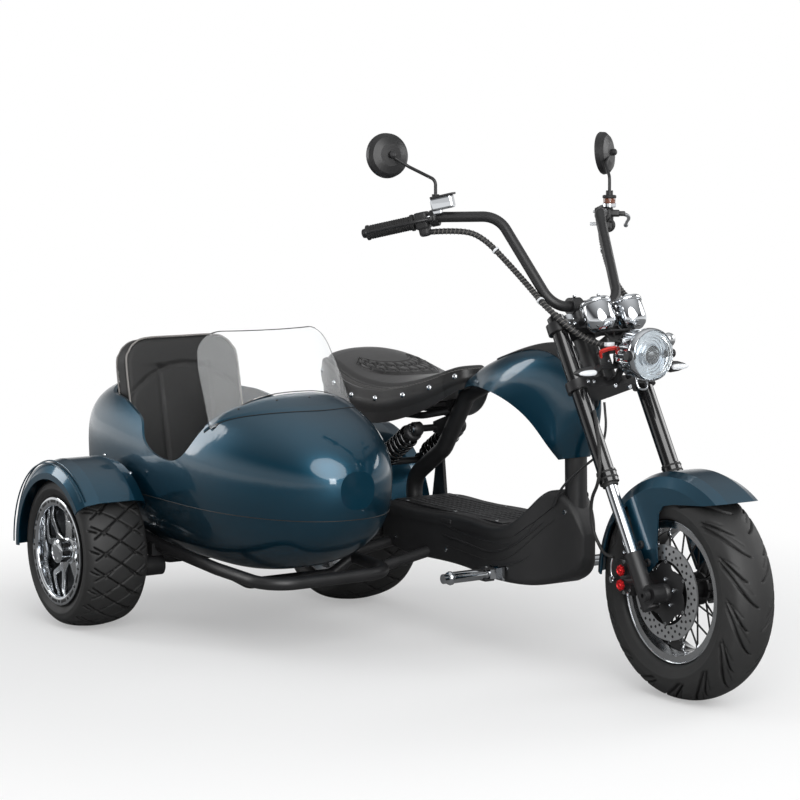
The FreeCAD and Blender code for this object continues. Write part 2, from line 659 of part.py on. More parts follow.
def handlebar():
    end = BAR + Vector(-389, -370, 168)
    shoulder = BAR + Vector(-257, -251, 208)
    bend = BAR + Vector(-149, -153, 211)
    low = BAR + Vector(0, -99, 0)
    route = [end, shoulder, bend, low]
    route += [Vector(point.x, -point.y, point.z) for point in reversed(route)]
    bends = [150, 70, size.bar_bend, size.bar_bend, 70, 150]
    shaped("handlebar", tube(route, size.bar_radius, *bends))
    along = (shoulder - end).normalize()
    sleeve = rod(end - along * 4, end + along * size.grip_length, size.grip_radius)
    sleeve = sleeve.cut(rod(end, end + along * (size.grip_length + 1), size.bar_radius + size.bearing_gap))
    shaped("grips", both_sides(sleeve))
    ahead = Vector(along.y, -along.x, 0).normalize()
    spot = end + along * (size.grip_length + 22)
    switch = rod(spot - along * 18, spot + along * 14, 23)
    switch = joined([switch, rod(spot - Z * 8, spot - Z * 34, 15)])
    bar = tube(route, size.bar_radius + size.fit_gap, *bends)
    shaped("switch_blocks", both_sides(switch.cut(bar)))
    clamp_spot = spot + along * 30
    holder = rod(clamp_spot - along * 11, clamp_spot + along * 11, 20)
    cup_spot = clamp_spot + along * 5 + ahead * 14
    cup = rod(cup_spot + Z * 14, cup_spot + Z * 44, 22)
    arm = rod(clamp_spot + ahead * 12, clamp_spot + ahead * 42 - along * 4, 9)
    lever = tube([clamp_spot + ahead * 36 - along * 4, clamp_spot + ahead * 62 - along * 50,
                  clamp_spot + ahead * 52 - along * 165], 5.5, 40)
    shaped("brake_levers", both_sides(joined([holder, cup, arm, lever]).cut(bar)))
    top = cup_spot + Z * 44.3
    shaped("mirrors", Part.makeCompound([mirror(top, size.mirror_turn_right),
                                         mirror(top, size.mirror_turn_left).mirror(Vector(), Y)]))


def mirror(root, turn):
    """The right-hand mirror: a round glass with a domed back on a bent stem, turned by its own angle."""
    face = BAR + Vector(-370, -330, 354)
    swing = math.radians(turn)
    normal = Vector(-math.cos(swing), math.sin(swing), -0.1).normalize()
    radius = size.mirror_radius
    dome = [(0, 0), (radius - 2, 0), (radius, 3), (radius * 0.97, 14), (radius * 0.82, 22),
            (radius * 0.5, 28), (0, 30)]
    level = normal.cross(Z).normalize()
    corners = [face - normal * depth + level * out for out, depth in dome + dome[:1]]
    bowl = Part.Face(Part.makePolygon(corners))
    bowl = bowl.revolve(face, normal, 360)
    elbow = BAR + Vector(-313, -300, 328)
    stem = tube([root, root + Z * 46, elbow, face - normal * 24], size.mirror_stem_radius, 18)
    return joined([bowl, stem, rod(root, root + Z * 12, 9)])


def head_unit():
    risers = []
    half = size.riser_spacing / 2
    for side in (-half, half):
        foot = fork_point(size.upper_clamp_height + size.clamp_thickness, size.riser_lead, side)
        top = BAR + Y * side
        lower = top + (foot - top).normalize() * 15
        post = joined([rod(foot, lower, 13), rod(top - Y * 15, top + Y * 15, 21)])
        risers.append(post.cut(rod(top - Y * 40, top + Y * 40, size.bar_radius + size.bearing_gap)))
    shaped("bar_risers", Part.makeCompound(risers))
    radius, depth = size.lamp_radius, size.lamp_depth
    back = LAMP - X * depth
    bucket = [(0, 0), (0, radius - 26), (18, radius - 8), (44, radius - 3), (depth - 12, radius),
              (depth, radius), (depth, 0)]
    face = Part.Face(Part.makePolygon([back + X * run + Z * lift for run, lift in bucket + bucket[:1]]))
    shaped("headlamp", face.revolve(LAMP, X, 360))
    dome = [(0, 0), (0, radius - 3), (8, radius - 3), (16, radius - 20), (size.lens_depth - 4, radius - 44),
            (size.lens_depth, 0)]
    face = Part.Face(Part.makePolygon([LAMP + X * run + Z * lift for run, lift in dome + dome[:1]]))
    shaped("headlamp_lens", face.revolve(LAMP, X, 360))
    rail = back + Vector(-12, 0, -34)
    arm = rod(fork_point(size.lower_clamp_height + 12, 22, 0), rail + Vector(3, 0, 8), 9)
    cross = rod(rail - Y * 66, rail + Y * 66, 6)
    pad = rod(back - X * 20 - Z * 12, back - Z * 12, 24)
    shaped("lamp_bracket", joined([arm, cross, pad]).cut(clamp(size.lower_clamp_height, True)))
    root = back + Vector(18, -104, -40)
    stalk = rod(rail - Y * 71, root - Y * 4, 7)
    length, thick = size.indicator_length, size.indicator_radius
    drop = [(0, 0), (0, thick * 0.6), (length * 0.2, thick), (length * 0.55, thick * 0.86),
            (length * 0.85, thick * 0.45), (length, 0)]
    face = Part.Face(Part.makePolygon([root - Y * run + Z * lift for run, lift in drop + drop[:1]]))
    shaped("indicators", both_sides(joined([stalk, face.revolve(root, Y, 360)])))
    centre = fork_point(size.upper_clamp_height, 93, -size.gauge_spacing / 2)
    low = centre - UP * (size.gauge_height / 2)
    cup = joined([rod(low + UP * 8, low + UP * size.gauge_height, size.gauge_radius),
                  Part.makeCone(size.gauge_radius - 9, size.gauge_radius, 8, low, UP)])
    shaped("gauges", both_sides(cup))
    hold = fork_point(size.upper_clamp_height + 12, 22, -size.gauge_spacing / 2)
    stay = rod(hold, centre - X * 22, 7).cut(cup).cut(clamp(size.upper_clamp_height, False))
    shaped("gauge_bracket", both_sides(stay))


def brake_parts():
    centre = AXLE + Vector(-118, -size.disc_offset, 20)
    body = block(centre + Vector(-28, -30, -36), centre + Vector(28, 9, 36))
    slot = block(centre + Vector(-60, -size.disc_thickness / 2 - 3, -60),
                 centre + Vector(60, size.disc_thickness / 2 + 3, 60))
    keep_back = block(centre + Vector(-60, -60, -60), centre + Vector(-26, 60, 60))
    body = body.cut(slot.cut(keep_back))
    pistons = [rod(centre + Vector(0, -38, lift), centre + Vector(0, -28, lift), 13) for lift in (-17, 17)]
    arm = rod(centre + Vector(0, -24, -10), AXLE + Vector(-24, -96, 30), 9)
    foot = rod(fork_point(-26, 0, -97), fork_point(size.slider_foot + 50, 0, -97), size.slider_radius + 6.3)
    whole = joined([body, arm] + pistons).cut(foot)
    shaped("front_caliper", max(whole.Solids, key=lambda solid: solid.Volume))


def saddle_ring(x, top, half, low):
    points = []
    steps = 20
    middle = (top + low) / 2
    for step in range(steps):
        turn = 2 * math.pi * step / steps
        side, lift = math.cos(turn), math.sin(turn)
        across = math.copysign(abs(side) ** 0.7, side) * half
        rise = math.copysign(abs(lift) ** 0.7, lift) * (top - low) / 2
        points.append(Vector(x, across, middle + rise))
    curve = Part.BSplineCurve()
    curve.interpolate(points, PeriodicFlag=True)
    return Part.Wire([curve.toShape()])


def saddle():
    stations = [(-1462, 676, 50, 640), (-1440, 694, 96, 612), (-1390, 702, 138, 580), (-1300, 690, 164, 548),
                (-1180, 656, 166, 528), (-1060, 644, 142, 538), (-950, 664, 100, 574), (-870, 694, 62, 622),
                (-838, 703, 38, 652)]
    form = Part.makeLoft([saddle_ring(*station) for station in stations], True, False)
    arch = arch_tube(size.fit_gap)
    form = form.cut(arch).cut(cover_block(size.fit_gap)).cut(saddle_bracket(size.fit_gap))
    shaped("saddle", max(form.Solids, key=lambda solid: solid.Volume))


BAR = fork_point(size.upper_clamp_height + size.clamp_thickness + size.riser_rise, size.riser_lead)
LAMP = fork_point(size.lower_clamp_height + 11, 166)
SHOCK_TOP, SHOCK_LOW = Vector(-1015, 0, 522), Vector(-1190, 0, 412)
PIVOT = Vector(-1150, 0, 245)
REAR_AXLE = Vector(-size.wheelbase, 0, size.rear_tyre_radius)


def shocks():
    side = Y * -size.shock_y
    top, low = SHOCK_TOP + side, SHOCK_LOW + side
    run = (low - top)
    length = run.Length
    run.normalize()
    across = run.cross(Y)
    outline = [(14, 0), (14, 9), (26, 9), (26, size.shock_radius)]
    ribs = 7
    first, last = 32, length - 42
    pitch = (last - first) / ribs
    for rib in range(ribs):
        at = first + pitch * rib
        outline += [(at, size.shock_radius - 9), (at + pitch / 2, size.shock_radius)]
    outline += [(last, size.shock_radius - 9), (last + 4, size.shock_radius), (last + 12, size.shock_radius),
                (last + 12, 12), (length - 12, 12), (length - 12, 0)]
    face = Part.Face(Part.makePolygon([top + run * at + across * lift for at, lift in outline + outline[:1]]))
    solid = face.revolve(top, run, 360)
    eyes = []
    for point in (top, low):
        eyes.append(rod(point - Y * 12, point + Y * 12, 18))
    solid = joined([solid] + eyes)
    for point in (top, low):
        solid = solid.cut(rod(point - Y * 20, point + Y * 20, 9 + size.bearing_gap))
    shaped("shocks", both_sides(solid))


def rear_end():
    side = 130
    pieces = []
    for turn in (-1, 1):
        arm = slab([(PIVOT.x + 14, PIVOT.z - 14), (PIVOT.x + 14, PIVOT.z + 14), (-1160, 290),
                    (SHOCK_LOW.x + 14, SHOCK_LOW.z + 6), (SHOCK_LOW.x - 14, SHOCK_LOW.z + 6), (-1226, 290),
                    (REAR_AXLE.x - 16, REAR_AXLE.z + 22), (REAR_AXLE.x - 30, REAR_AXLE.z),
                    (REAR_AXLE.x - 16, REAR_AXLE.z - 22), (-1240, 226)], 9, turn * (side - 1))
        pieces.append(arm)
    bridge = rod(SHOCK_LOW - Y * (side + 3), SHOCK_LOW + Y * (side + 3), 9)
    cross = rod(PIVOT - Y * (side + 3), PIVOT + Y * (side + 3), 16)
    arm = joined(pieces + [cross, bridge])
    hole = rod(REAR_AXLE - Y * 200, REAR_AXLE + Y * 200, size.side_axle_radius + size.bearing_gap)
    shaped("swingarm", arm.cut(hole))
    reach = side + 16
    shaped("rear_axle", joined([rod(REAR_AXLE - Y * reach, REAR_AXLE + Y * reach, size.side_axle_radius),
                                rod(REAR_AXLE - Y * (reach + 6), REAR_AXLE - Y * (side + 4), 17),
                                rod(REAR_AXLE + Y * (side + 4), REAR_AXLE + Y * (reach + 6), 17)]))
    shocks()
    lamp = block(Vector(-size.rear_guard_radius - 26, -38, -17), Vector(-size.rear_guard_radius + 16, 38, 17))
    lamp.rotate(Vector(), Y, 30)
    lamp.translate(REAR_AXLE)
    round_guard = rod(REAR_AXLE - Y * 150, REAR_AXLE + Y * 150, size.rear_guard_radius + size.fit_gap)
    shaped("tail_lamp", lamp.cut(round_guard))
    stays = []
    for turn in (-1, 1):
        stays.append(rod(Vector(-1470, turn * 121.5, 262), Vector(-1600, turn * 121.5, 420), 3))
    shaped("rear_guard_stays", Part.makeCompound(stays))


def foot_pegs():
    face = -size.box_half_width
    root = Vector(-588, face, 214)
    plate = block(root + Vector(-26, -7, -17), root + Vector(26, 0, 17))
    fork_ear = block(root + Vector(-13, -34, -13), root + Vector(13, -5, 13))
    bar = rod(root - Y * 30, root - Y * (size.peg_length + 16), size.peg_radius)
    shaped("foot_pegs", both_sides(joined([plate, fork_ear, bar])))


def saddle_bracket(grow=0):
    """Two stays under the saddle that reach back from the arch tube, and a tie between them."""
    tubes = []
    for turn in (-1, 1):
        tubes.append(tube([Vector(-950, turn * 8, 572), Vector(-1010, turn * 52, 556),
                           Vector(-1300, turn * 84, 550)], 9 + grow, 60))
    cross = rod(Vector(-1180, -78, 552), Vector(-1180, 78, 552), 8 + grow)
    arch = arch_tube()
    return joined(tubes + [cross]).cut(arch)


def sidecar_frame():
    cross_z = size.shell_wide_z - size.shell_bottom - size.side_tube_radius - size.fit_gap
    near, far = size.side_y - 192, size.side_y + 192
    rails = tube([Vector(-1640, near, 250), Vector(-1360, near, 216), Vector(-1080, near, 200),
                  Vector(-838, near + 10, 192), Vector(-838, far - 10, 192), Vector(-1080, far, 200),
                  Vector(-1360, far, 216), Vector(-1640, far, 250)], size.side_tube_radius, 80)
    pieces = [rails]
    for x, high in ((-1040, 202), (-1480, 231)):
        pieces.append(tube([Vector(x, near, high), Vector(x, near + 70, cross_z),
                            Vector(x, far - 70, cross_z), Vector(x, far, high)], 14, 40))
    pieces.append(block(Vector(-1420, near - 24, 190), Vector(-1380, near + 10, 222)))
    return joined(pieces)


def sidecar_struts():
    far = size.side_y + 192
    face = -size.box_half_width
    tubes = []
    for x, high in ((-900, 196), (-1080, 200)):
        tubes.append(rod(Vector(x, far, high), Vector(x, face + 8, 222), size.strut_radius))
    return Part.makeCompound(tubes).cut(battery_box()).cut(sidecar_frame())


def sidecar_wheel_carrier():
    axle = Vector(size.side_axle_x, size.side_wheel_y, size.side_tyre_radius)
    pivot = Vector(-1400, 0, 163)
    inner, outer = size.side_y - 180, size.side_y - 236
    tube_part = rod(Vector(pivot.x, outer, pivot.z), Vector(pivot.x, inner, pivot.z), 27)
    arm = slab([(pivot.x + 10, pivot.z - 22), (pivot.x + 10, pivot.z + 22), (axle.x, axle.z + 24),
                (axle.x - 24, axle.z), (axle.x, axle.z - 24)], 14, outer + 7)
    hole = rod(Vector(axle.x, -900, axle.z), Vector(axle.x, -500, axle.z),
               size.side_axle_radius + size.bearing_gap)
    shaped("sidecar_arm", joined([tube_part, arm]).cut(hole))
    shaft = rod(Vector(axle.x, outer + 24, axle.z), Vector(axle.x, axle.y - 76, axle.z), size.side_axle_radius)
    collar = rod(Vector(axle.x, outer + 14.3, axle.z), Vector(axle.x, outer + 26, axle.z), 18)
    nut = rod(Vector(axle.x, axle.y - 68.5, axle.z), Vector(axle.x, axle.y - 84, axle.z), 18)
    stub = joined([shaft, collar, nut])
    shaped("sidecar_axle", stub)


def sidecar_inside():
    inner = egg(size.shell_wall + size.fit_gap)
    box = block(Vector(-1545, size.side_y - 170, 150), Vector(-1190, size.side_y + 170, 300)).common(inner)
    shaped("sidecar_seat_box", box)
    cushion = block(Vector(-1540, size.side_y - 188, 300.3), Vector(-1185, size.side_y + 188, 385))
    cushion = cushion.makeFillet(24, cushion.Edges)
    shaped("sidecar_cushion", cushion)
    side = 172
    rest = block(Vector(-30, size.side_y - side, 0), Vector(34, size.side_y + side, 352))
    tall = [edge for edge in rest.Edges if abs(edge.BoundBox.ZLength) < 1 and edge.BoundBox.ZMin > 300
            and edge.BoundBox.XLength > 1]
    rest = rest.makeFillet(70, tall)
    rest = rest.makeFillet(16, rest.Edges)
    rest.rotate(Vector(), Y, -12)
    rest.translate(Vector(-1573, 0, 388))
    walls = egg(-size.fit_gap).cut(egg(size.shell_wall + size.fit_gap)).cut(cockpit_cut())
    rest = rest.cut(walls)
    shaped("sidecar_backrest", rest.common(block(Vector(-2000, -900, 385.4), Vector(-1000, 100, 900))))


def sidecar_screen():
    thick = size.screen_thickness
    middle = size.side_y

    def bow(side, front, back, low, high):
        return Part.Arc(Vector(back, middle - side, low), Vector(front, middle, high),
                        Vector(back, middle + side, low)).toShape()

    sheet_glass = Part.makeRuledSurface(bow(214, -975, -1066, 556, 610), bow(196, -1128, -1192, 787, 794))
    sheet_glass = sheet_glass.extrude(X * -thick)
    corners = [Vector(-1300, middle, 500), Vector(-1300, middle + 240, 500), Vector(-1300, middle + 178, 790),
               Vector(-1300, middle - 186, 790), Vector(-1300, middle - 240, 500), Vector(-1300, middle, 500)]
    outline = path(corners, [10, size.screen_corner, size.screen_corner, 10])
    glass = sheet_glass.common(Part.Face(outline).extrude(X * 500))
    return glass.cut(egg(-size.fit_gap))


def cord(points, radius):
    """A cable whose every arc is as large as the two runs beside it allow."""
    bends = []
    for before, corner, after in zip(points, points[1:], points[2:]):
        back, ahead = before - corner, after - corner
        half_turn = (math.pi - back.getAngle(ahead)) / 2
        bends.append(size.cord_run_share * min(back.Length, ahead.Length) / math.tan(half_turn))
    print("bend radii", [round(bend) for bend in bends], "mm on a cable of radius", radius)
    return tube(points, radius, *bends)


def cables():
    """Leads and hoses that clips and housings hold all the way, each in straight runs and arcs."""
    right = [Vector(-658.5, -264, 1052), Vector(-604, -212, 1058), Vector(-570, -172, 1040),
             Vector(-506, -138, 974), Vector(-420, -126, 910)]
    left = [Vector(-658.5, 264, 1052), Vector(-600, 208, 1054), Vector(-560, 180, 1024),
            Vector(-494, 148, 962), Vector(-424, 130, 912)]
    down = [(-387, 130, 890), (-318, 108, 840), (-307, 50, 802), (-252, 22, 790)]
    looms = []
    for run, side in ((right, -1), (left, 1)):
        route = run + [Vector(across, side * out, up) for across, out, up in down]
        looms.append(cord(route, size.harness_radius))
    shaped("control_harness", Part.makeCompound(looms))
    hose = [Vector(-146, -100, 316), Vector(-178, -104, 320), Vector(-213, -110, 368),
            Vector(-213, -118, 440), Vector(-161, -130, 500), Vector(-193, -109, 582),
            Vector(-229, -96, 650)]
    shaped("brake_hose", cord(hose, size.hose_radius))
    lead = [Vector(-440, -54, 392), Vector(-414, -52, 440), Vector(-372, -30, 486), Vector(-322, -6, 530),
            Vector(-304, 0, 590), Vector(-314, 0, 655)]
    shaped("wiring_lead", cord(lead, size.lead_radius))


front_wheel()
FRONT = ("dims.front_axle_x", "dims.bike_y", "dims.front_tyre_radius")
REAR = ("dims.front_axle_x - dims.wheelbase", "dims.bike_y", "dims.rear_tyre_radius")
SIDE = ("dims.front_axle_x + dims.side_axle_x", "dims.bike_y + dims.side_wheel_y", "dims.side_tyre_radius")
FRONT_GUARD = ("dims.front_axle_x + dims.front_guard_lead", "dims.bike_y",
               "dims.front_tyre_radius - dims.front_guard_drop")
# What the front mudguard's skirts leave open, from its middle: the bill, round the bracket, the tail.
GUARD_TRIM = [
    (300, 236), (169, 230), (124, 222), (20, 212), (-18, 204), (-34, 184), (-39, 120), (-36, 72), (-75, 35),
    (-102, 79), (-146, 188), (-176, 170), (-214, 124), (-238, 54), (-243, 4), (-240, -70), (300, -70),
]
guard("front_mudguard", "front", "dims.front_guard_half_width", "dims.front_guard_half_width", FRONT_GUARD,
      size.front_guard_start, GUARD_TRIM)
guard("rear_mudguard", "rear", "dims.rear_guard_half_width", "dims.rear_guard_half_width", REAR,
      size.rear_guard_start)
guard("sidecar_mudguard", "side", "dims.side_guard_outer", "dims.side_guard_inner", SIDE,
      size.side_guard_start)
fork()
handlebar()
head_unit()
brake_parts()
shaped("main_frame", main_frame())
shaped("battery_box", battery_box())
shaped("tank_cover", tank_cover())
shaped("tank_pad", tank_pad())
cables()
foot_pegs()
saddle()
shaped("saddle_bracket", saddle_bracket())
rear_end()
tyre("rear_tyre", "rear", REAR)
alloy_rim("rear_rim", "rear", REAR, size.motor_width / 2)
sidecar_body()
shaped("sidecar_screen", sidecar_screen())
shaped("sidecar_frame", sidecar_frame())
shaped("sidecar_struts", sidecar_struts())
sidecar_inside()
sidecar_wheel_carrier()
tyre("sidecar_tyre", "side", SIDE)
alloy_rim("sidecar_rim", "side", SIDE, 68)

doc.recompute()
for item in doc.Objects:
    if "Invalid" in item.State or "Error" in item.State:
        raise RuntimeError(f"{item.Label} failed: {item.State}")
for item in parts:
    if item.Shape.isNull() or not item.Shape.isValid():
        raise RuntimeError(f"{item.Label} has no sound shape")
os.makedirs("parts", exist_ok=True)
for item in parts:
    item.Shape.exportStep(f"parts/{item.Label}.step")
    print(item.Label, len(item.Shape.Solids), round(item.Shape.Volume / 1000), "cm3")
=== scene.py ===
import math

import bmesh
import bpy
import numpy as np
from mathutils import Matrix, Vector
from mathutils.bvhtree import BVHTree


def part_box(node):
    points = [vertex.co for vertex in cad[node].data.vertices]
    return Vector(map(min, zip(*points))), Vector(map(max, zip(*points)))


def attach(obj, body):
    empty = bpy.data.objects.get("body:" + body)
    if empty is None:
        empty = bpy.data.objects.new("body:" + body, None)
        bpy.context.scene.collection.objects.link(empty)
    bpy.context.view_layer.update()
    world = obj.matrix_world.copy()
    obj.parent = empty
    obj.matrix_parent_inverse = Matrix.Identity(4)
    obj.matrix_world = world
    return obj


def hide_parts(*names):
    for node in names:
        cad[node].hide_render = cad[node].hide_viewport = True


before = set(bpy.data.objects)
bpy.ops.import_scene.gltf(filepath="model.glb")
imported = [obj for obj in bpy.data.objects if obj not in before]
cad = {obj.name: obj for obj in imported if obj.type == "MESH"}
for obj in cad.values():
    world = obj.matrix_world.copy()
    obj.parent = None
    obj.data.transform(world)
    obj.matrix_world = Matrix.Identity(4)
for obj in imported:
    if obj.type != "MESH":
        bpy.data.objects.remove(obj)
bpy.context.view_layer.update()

FRONT_AXLE_X, BIKE_Y = 0.827, 0.235
RAKE = math.radians(30)
# In millimetres: the tyres' radii, the places of the axles, the sidecar's middle and the fork's legs.
FRONT_RADIUS, REAR_RADIUS, SIDE_RADIUS = 253, 238, 203
WHEELBASE, SIDE_AXLE_BACK, SIDE_WHEEL_OUT = 1450, 1518, 772
SIDECAR_OUT = 435
LEG_OUT, LEG_BACK = 97, 28


def at(x, y, z):
    """A point in millimetres from the front axle, the bike's middle plane and the ground."""
    return Vector((FRONT_AXLE_X + x / 1000, BIKE_Y + y / 1000, z / 1000))


UP_FORK = Vector((-math.sin(RAKE), 0, math.cos(RAKE)))
AHEAD_FORK = Vector((math.cos(RAKE), 0, math.sin(RAKE)))
FRONT_AXLE, REAR_AXLE = at(0, 0, FRONT_RADIUS), at(-WHEELBASE, 0, REAR_RADIUS)
SIDE_AXLE = at(-SIDE_AXLE_BACK, -SIDE_WHEEL_OUT, SIDE_RADIUS)
ACROSS, HIGH, FORWARD = Vector((0, 1, 0)), Vector((0, 0, 1)), Vector((1, 0, 0))
MIDDLE = at(0, 0, 0).y


def fork_at(height, ahead=0, side=0):
    """A point by its height along the fork legs, in front of their plane and to the left, in millimetres."""
    foot = FRONT_AXLE - AHEAD_FORK * LEG_BACK / 1000
    return foot + UP_FORK * height / 1000 + AHEAD_FORK * ahead / 1000 + ACROSS * side / 1000


BAR = fork_at(736.5, 6.3)
LAMP = fork_at(531, 166)


# The camera, the light and the floor.

def linked(name, data):
    """A new object in the scene."""
    obj = bpy.data.objects.new(name, data)
    bpy.context.scene.collection.objects.link(obj)
    return obj


def camera():
    """Stands where the photograph was taken from: a long lens, a little above the saddle."""
    looks_down, turned = 6.54, 56.55
    data = bpy.data.cameras.new("photo_camera")
    data.sensor_fit, data.sensor_width, data.lens = "HORIZONTAL", 36, 113.5256
    data.clip_end = 100
    obj = linked("photo_camera", data)
    obj.location = at(4384.15, -3685.13, 1342.4)
    obj.rotation_euler = (math.radians(90 - looks_down), 0, math.radians(turned))
    bpy.context.scene.camera = obj


def softbox(name, place, target, width, height, watts, shape="RECTANGLE"):
    """A flat lamp that faces its target."""
    data = bpy.data.lights.new(name, "AREA")
    data.shape, data.size, data.size_y, data.energy = shape, width, height, watts
    obj = linked(name, data)
    obj.location = place
    obj.rotation_euler = (Vector(target) - obj.location).to_track_quat("-Z", "Y").to_euler()


def add(tree, kind, values=None, **settings):
    """Adds a node with its settings; each value is a number, a colour or another node's output socket."""
    made = tree.nodes.new(kind)
    for setting, choice in settings.items():
        setattr(made, setting, choice)
    for socket, value in (values or {}).items():
        if isinstance(value, bpy.types.NodeSocket):
            tree.links.new(value, made.inputs[socket])
        else:
            made.inputs[socket].default_value = value
    return made


def hex_colour(text, alpha=1.0):
    """An sRGB hex value as the linear colour that a shader takes."""
    channels = [int(text[place:place + 2], 16) / 255 for place in (1, 3, 5)]
    linear = [c / 12.92 if c <= 0.04045 else ((c + 0.055) / 1.055) ** 2.4 for c in channels]
    return (*linear, alpha)


def per_mm(size):
    """The texture scale whose features are this many millimetres across."""
    return 1000 / size


def studio_sky():
    """A white cove for the camera, for glass and for low reflections, and a softer top light for the rest."""
    world = bpy.data.worlds.new("studio")
    world.use_nodes = True
    tree = world.node_tree
    tree.nodes.clear()
    ray = add(tree, "ShaderNodeLightPath").outputs
    seen = add(tree, "ShaderNodeMath", {0: ray["Is Camera Ray"], 1: ray["Is Transmission Ray"]},
               operation="MAXIMUM")
    around = add(tree, "ShaderNodeTexCoord").outputs["Generated"]
    height = add(tree, "ShaderNodeSeparateXYZ", {0: around}).outputs["Z"]
    ramp = add(tree, "ShaderNodeValToRGB", {0: height})
    stops = ramp.color_ramp.elements
    stops[0].color, stops[1].color = (0.05, 0.05, 0.055, 1), (0.98, 0.99, 1.0, 1)
    for share_up, colour in ((0.35, (0.10, 0.10, 0.105, 1)), (0.70, (0.50, 0.505, 0.51, 1))):
        stops.new(share_up).color = colour
    room = add(tree, "ShaderNodeBackground", {"Color": ramp.outputs["Color"], "Strength": 0.85})
    low = add(tree, "ShaderNodeMapRange", {"Value": height, "From Min": 0.05, "From Max": 0.30,
                                           "To Min": 0.75, "To Max": 0.0}, interpolation_type="SMOOTHSTEP")
    band = add(tree, "ShaderNodeMath", {0: ray["Is Glossy Ray"], 1: low.outputs[0]}, operation="MULTIPLY")
    seen = add(tree, "ShaderNodeMath", {0: seen.outputs[0], 1: band.outputs[0]}, operation="MAXIMUM")
    white = add(tree, "ShaderNodeBackground", {"Color": (1, 1, 1, 1), "Strength": 1.0})
    mixed = add(tree, "ShaderNodeMixShader", {0: seen.outputs[0], 1: room.outputs[0], 2: white.outputs[0]})
    add(tree, "ShaderNodeOutputWorld", {"Surface": mixed.outputs[0]})
    bpy.context.scene.world = world


def studio_floor():
    """A white floor that keeps the shadows under the wheels and fades to plain white further out; near the
    object, reflections see it dark grey, as painted shade.
    """
    bpy.ops.mesh.primitive_plane_add(size=60, location=(0, 0, 0))
    floor = bpy.context.object
    floor.name = "studio_floor"
    paint = bpy.data.materials.new("white_cove_paint")
    paint.use_nodes = True
    tree = paint.node_tree
    tree.nodes.clear()
    ray = add(tree, "ShaderNodeLightPath").outputs
    seen = add(tree, "ShaderNodeMath", {0: ray["Is Camera Ray"], 1: ray["Is Transmission Ray"]},
               operation="MAXIMUM")
    away = add(tree, "ShaderNodeVectorMath", {0: add(tree, "ShaderNodeTexCoord").outputs["Object"]},
               operation="LENGTH")
    fade = add(tree, "ShaderNodeMapRange", {"Value": away.outputs["Value"], "From Min": 0.9, "From Max": 2.2,
                                            "To Min": 0.36, "To Max": 1.0}, interpolation_type="SMOOTHSTEP")
    far = add(tree, "ShaderNodeMapRange", {"Value": away.outputs["Value"], "From Min": 3.2, "From Max": 8.0,
                                           "To Min": 0.0, "To Max": 1.0}, interpolation_type="SMOOTHSTEP")
    plain = add(tree, "ShaderNodeMath", {0: seen.outputs[0], 1: fade.outputs[0]}, operation="MULTIPLY")
    mirrored_glow = add(tree, "ShaderNodeMath", {0: ray["Is Glossy Ray"], 1: far.outputs[0]},
                        operation="MULTIPLY")
    share = add(tree, "ShaderNodeMath", {0: plain.outputs[0], 1: mirrored_glow.outputs[0]},
                operation="MAXIMUM")
    # Glossy rays see the floor near the object dark grey rather than white: painted shade in what the paint
    # mirrors below it.
    shade = add(tree, "ShaderNodeMix", {"Factor": ray["Is Glossy Ray"], 6: (0.8, 0.8, 0.8, 1),
                                        7: (0.20, 0.20, 0.20, 1)}, data_type="RGBA").outputs[2]
    matt = add(tree, "ShaderNodeBsdfDiffuse", {"Color": shade})
    glow = add(tree, "ShaderNodeEmission", {"Color": (1, 1, 1, 1), "Strength": 1.0})
    mixed = add(tree, "ShaderNodeMixShader", {0: share.outputs[0], 1: matt.outputs[0], 2: glow.outputs[0]})
    add(tree, "ShaderNodeOutputMaterial", {"Surface": mixed.outputs[0]})
    floor.data.materials.append(paint)


# The finishes.

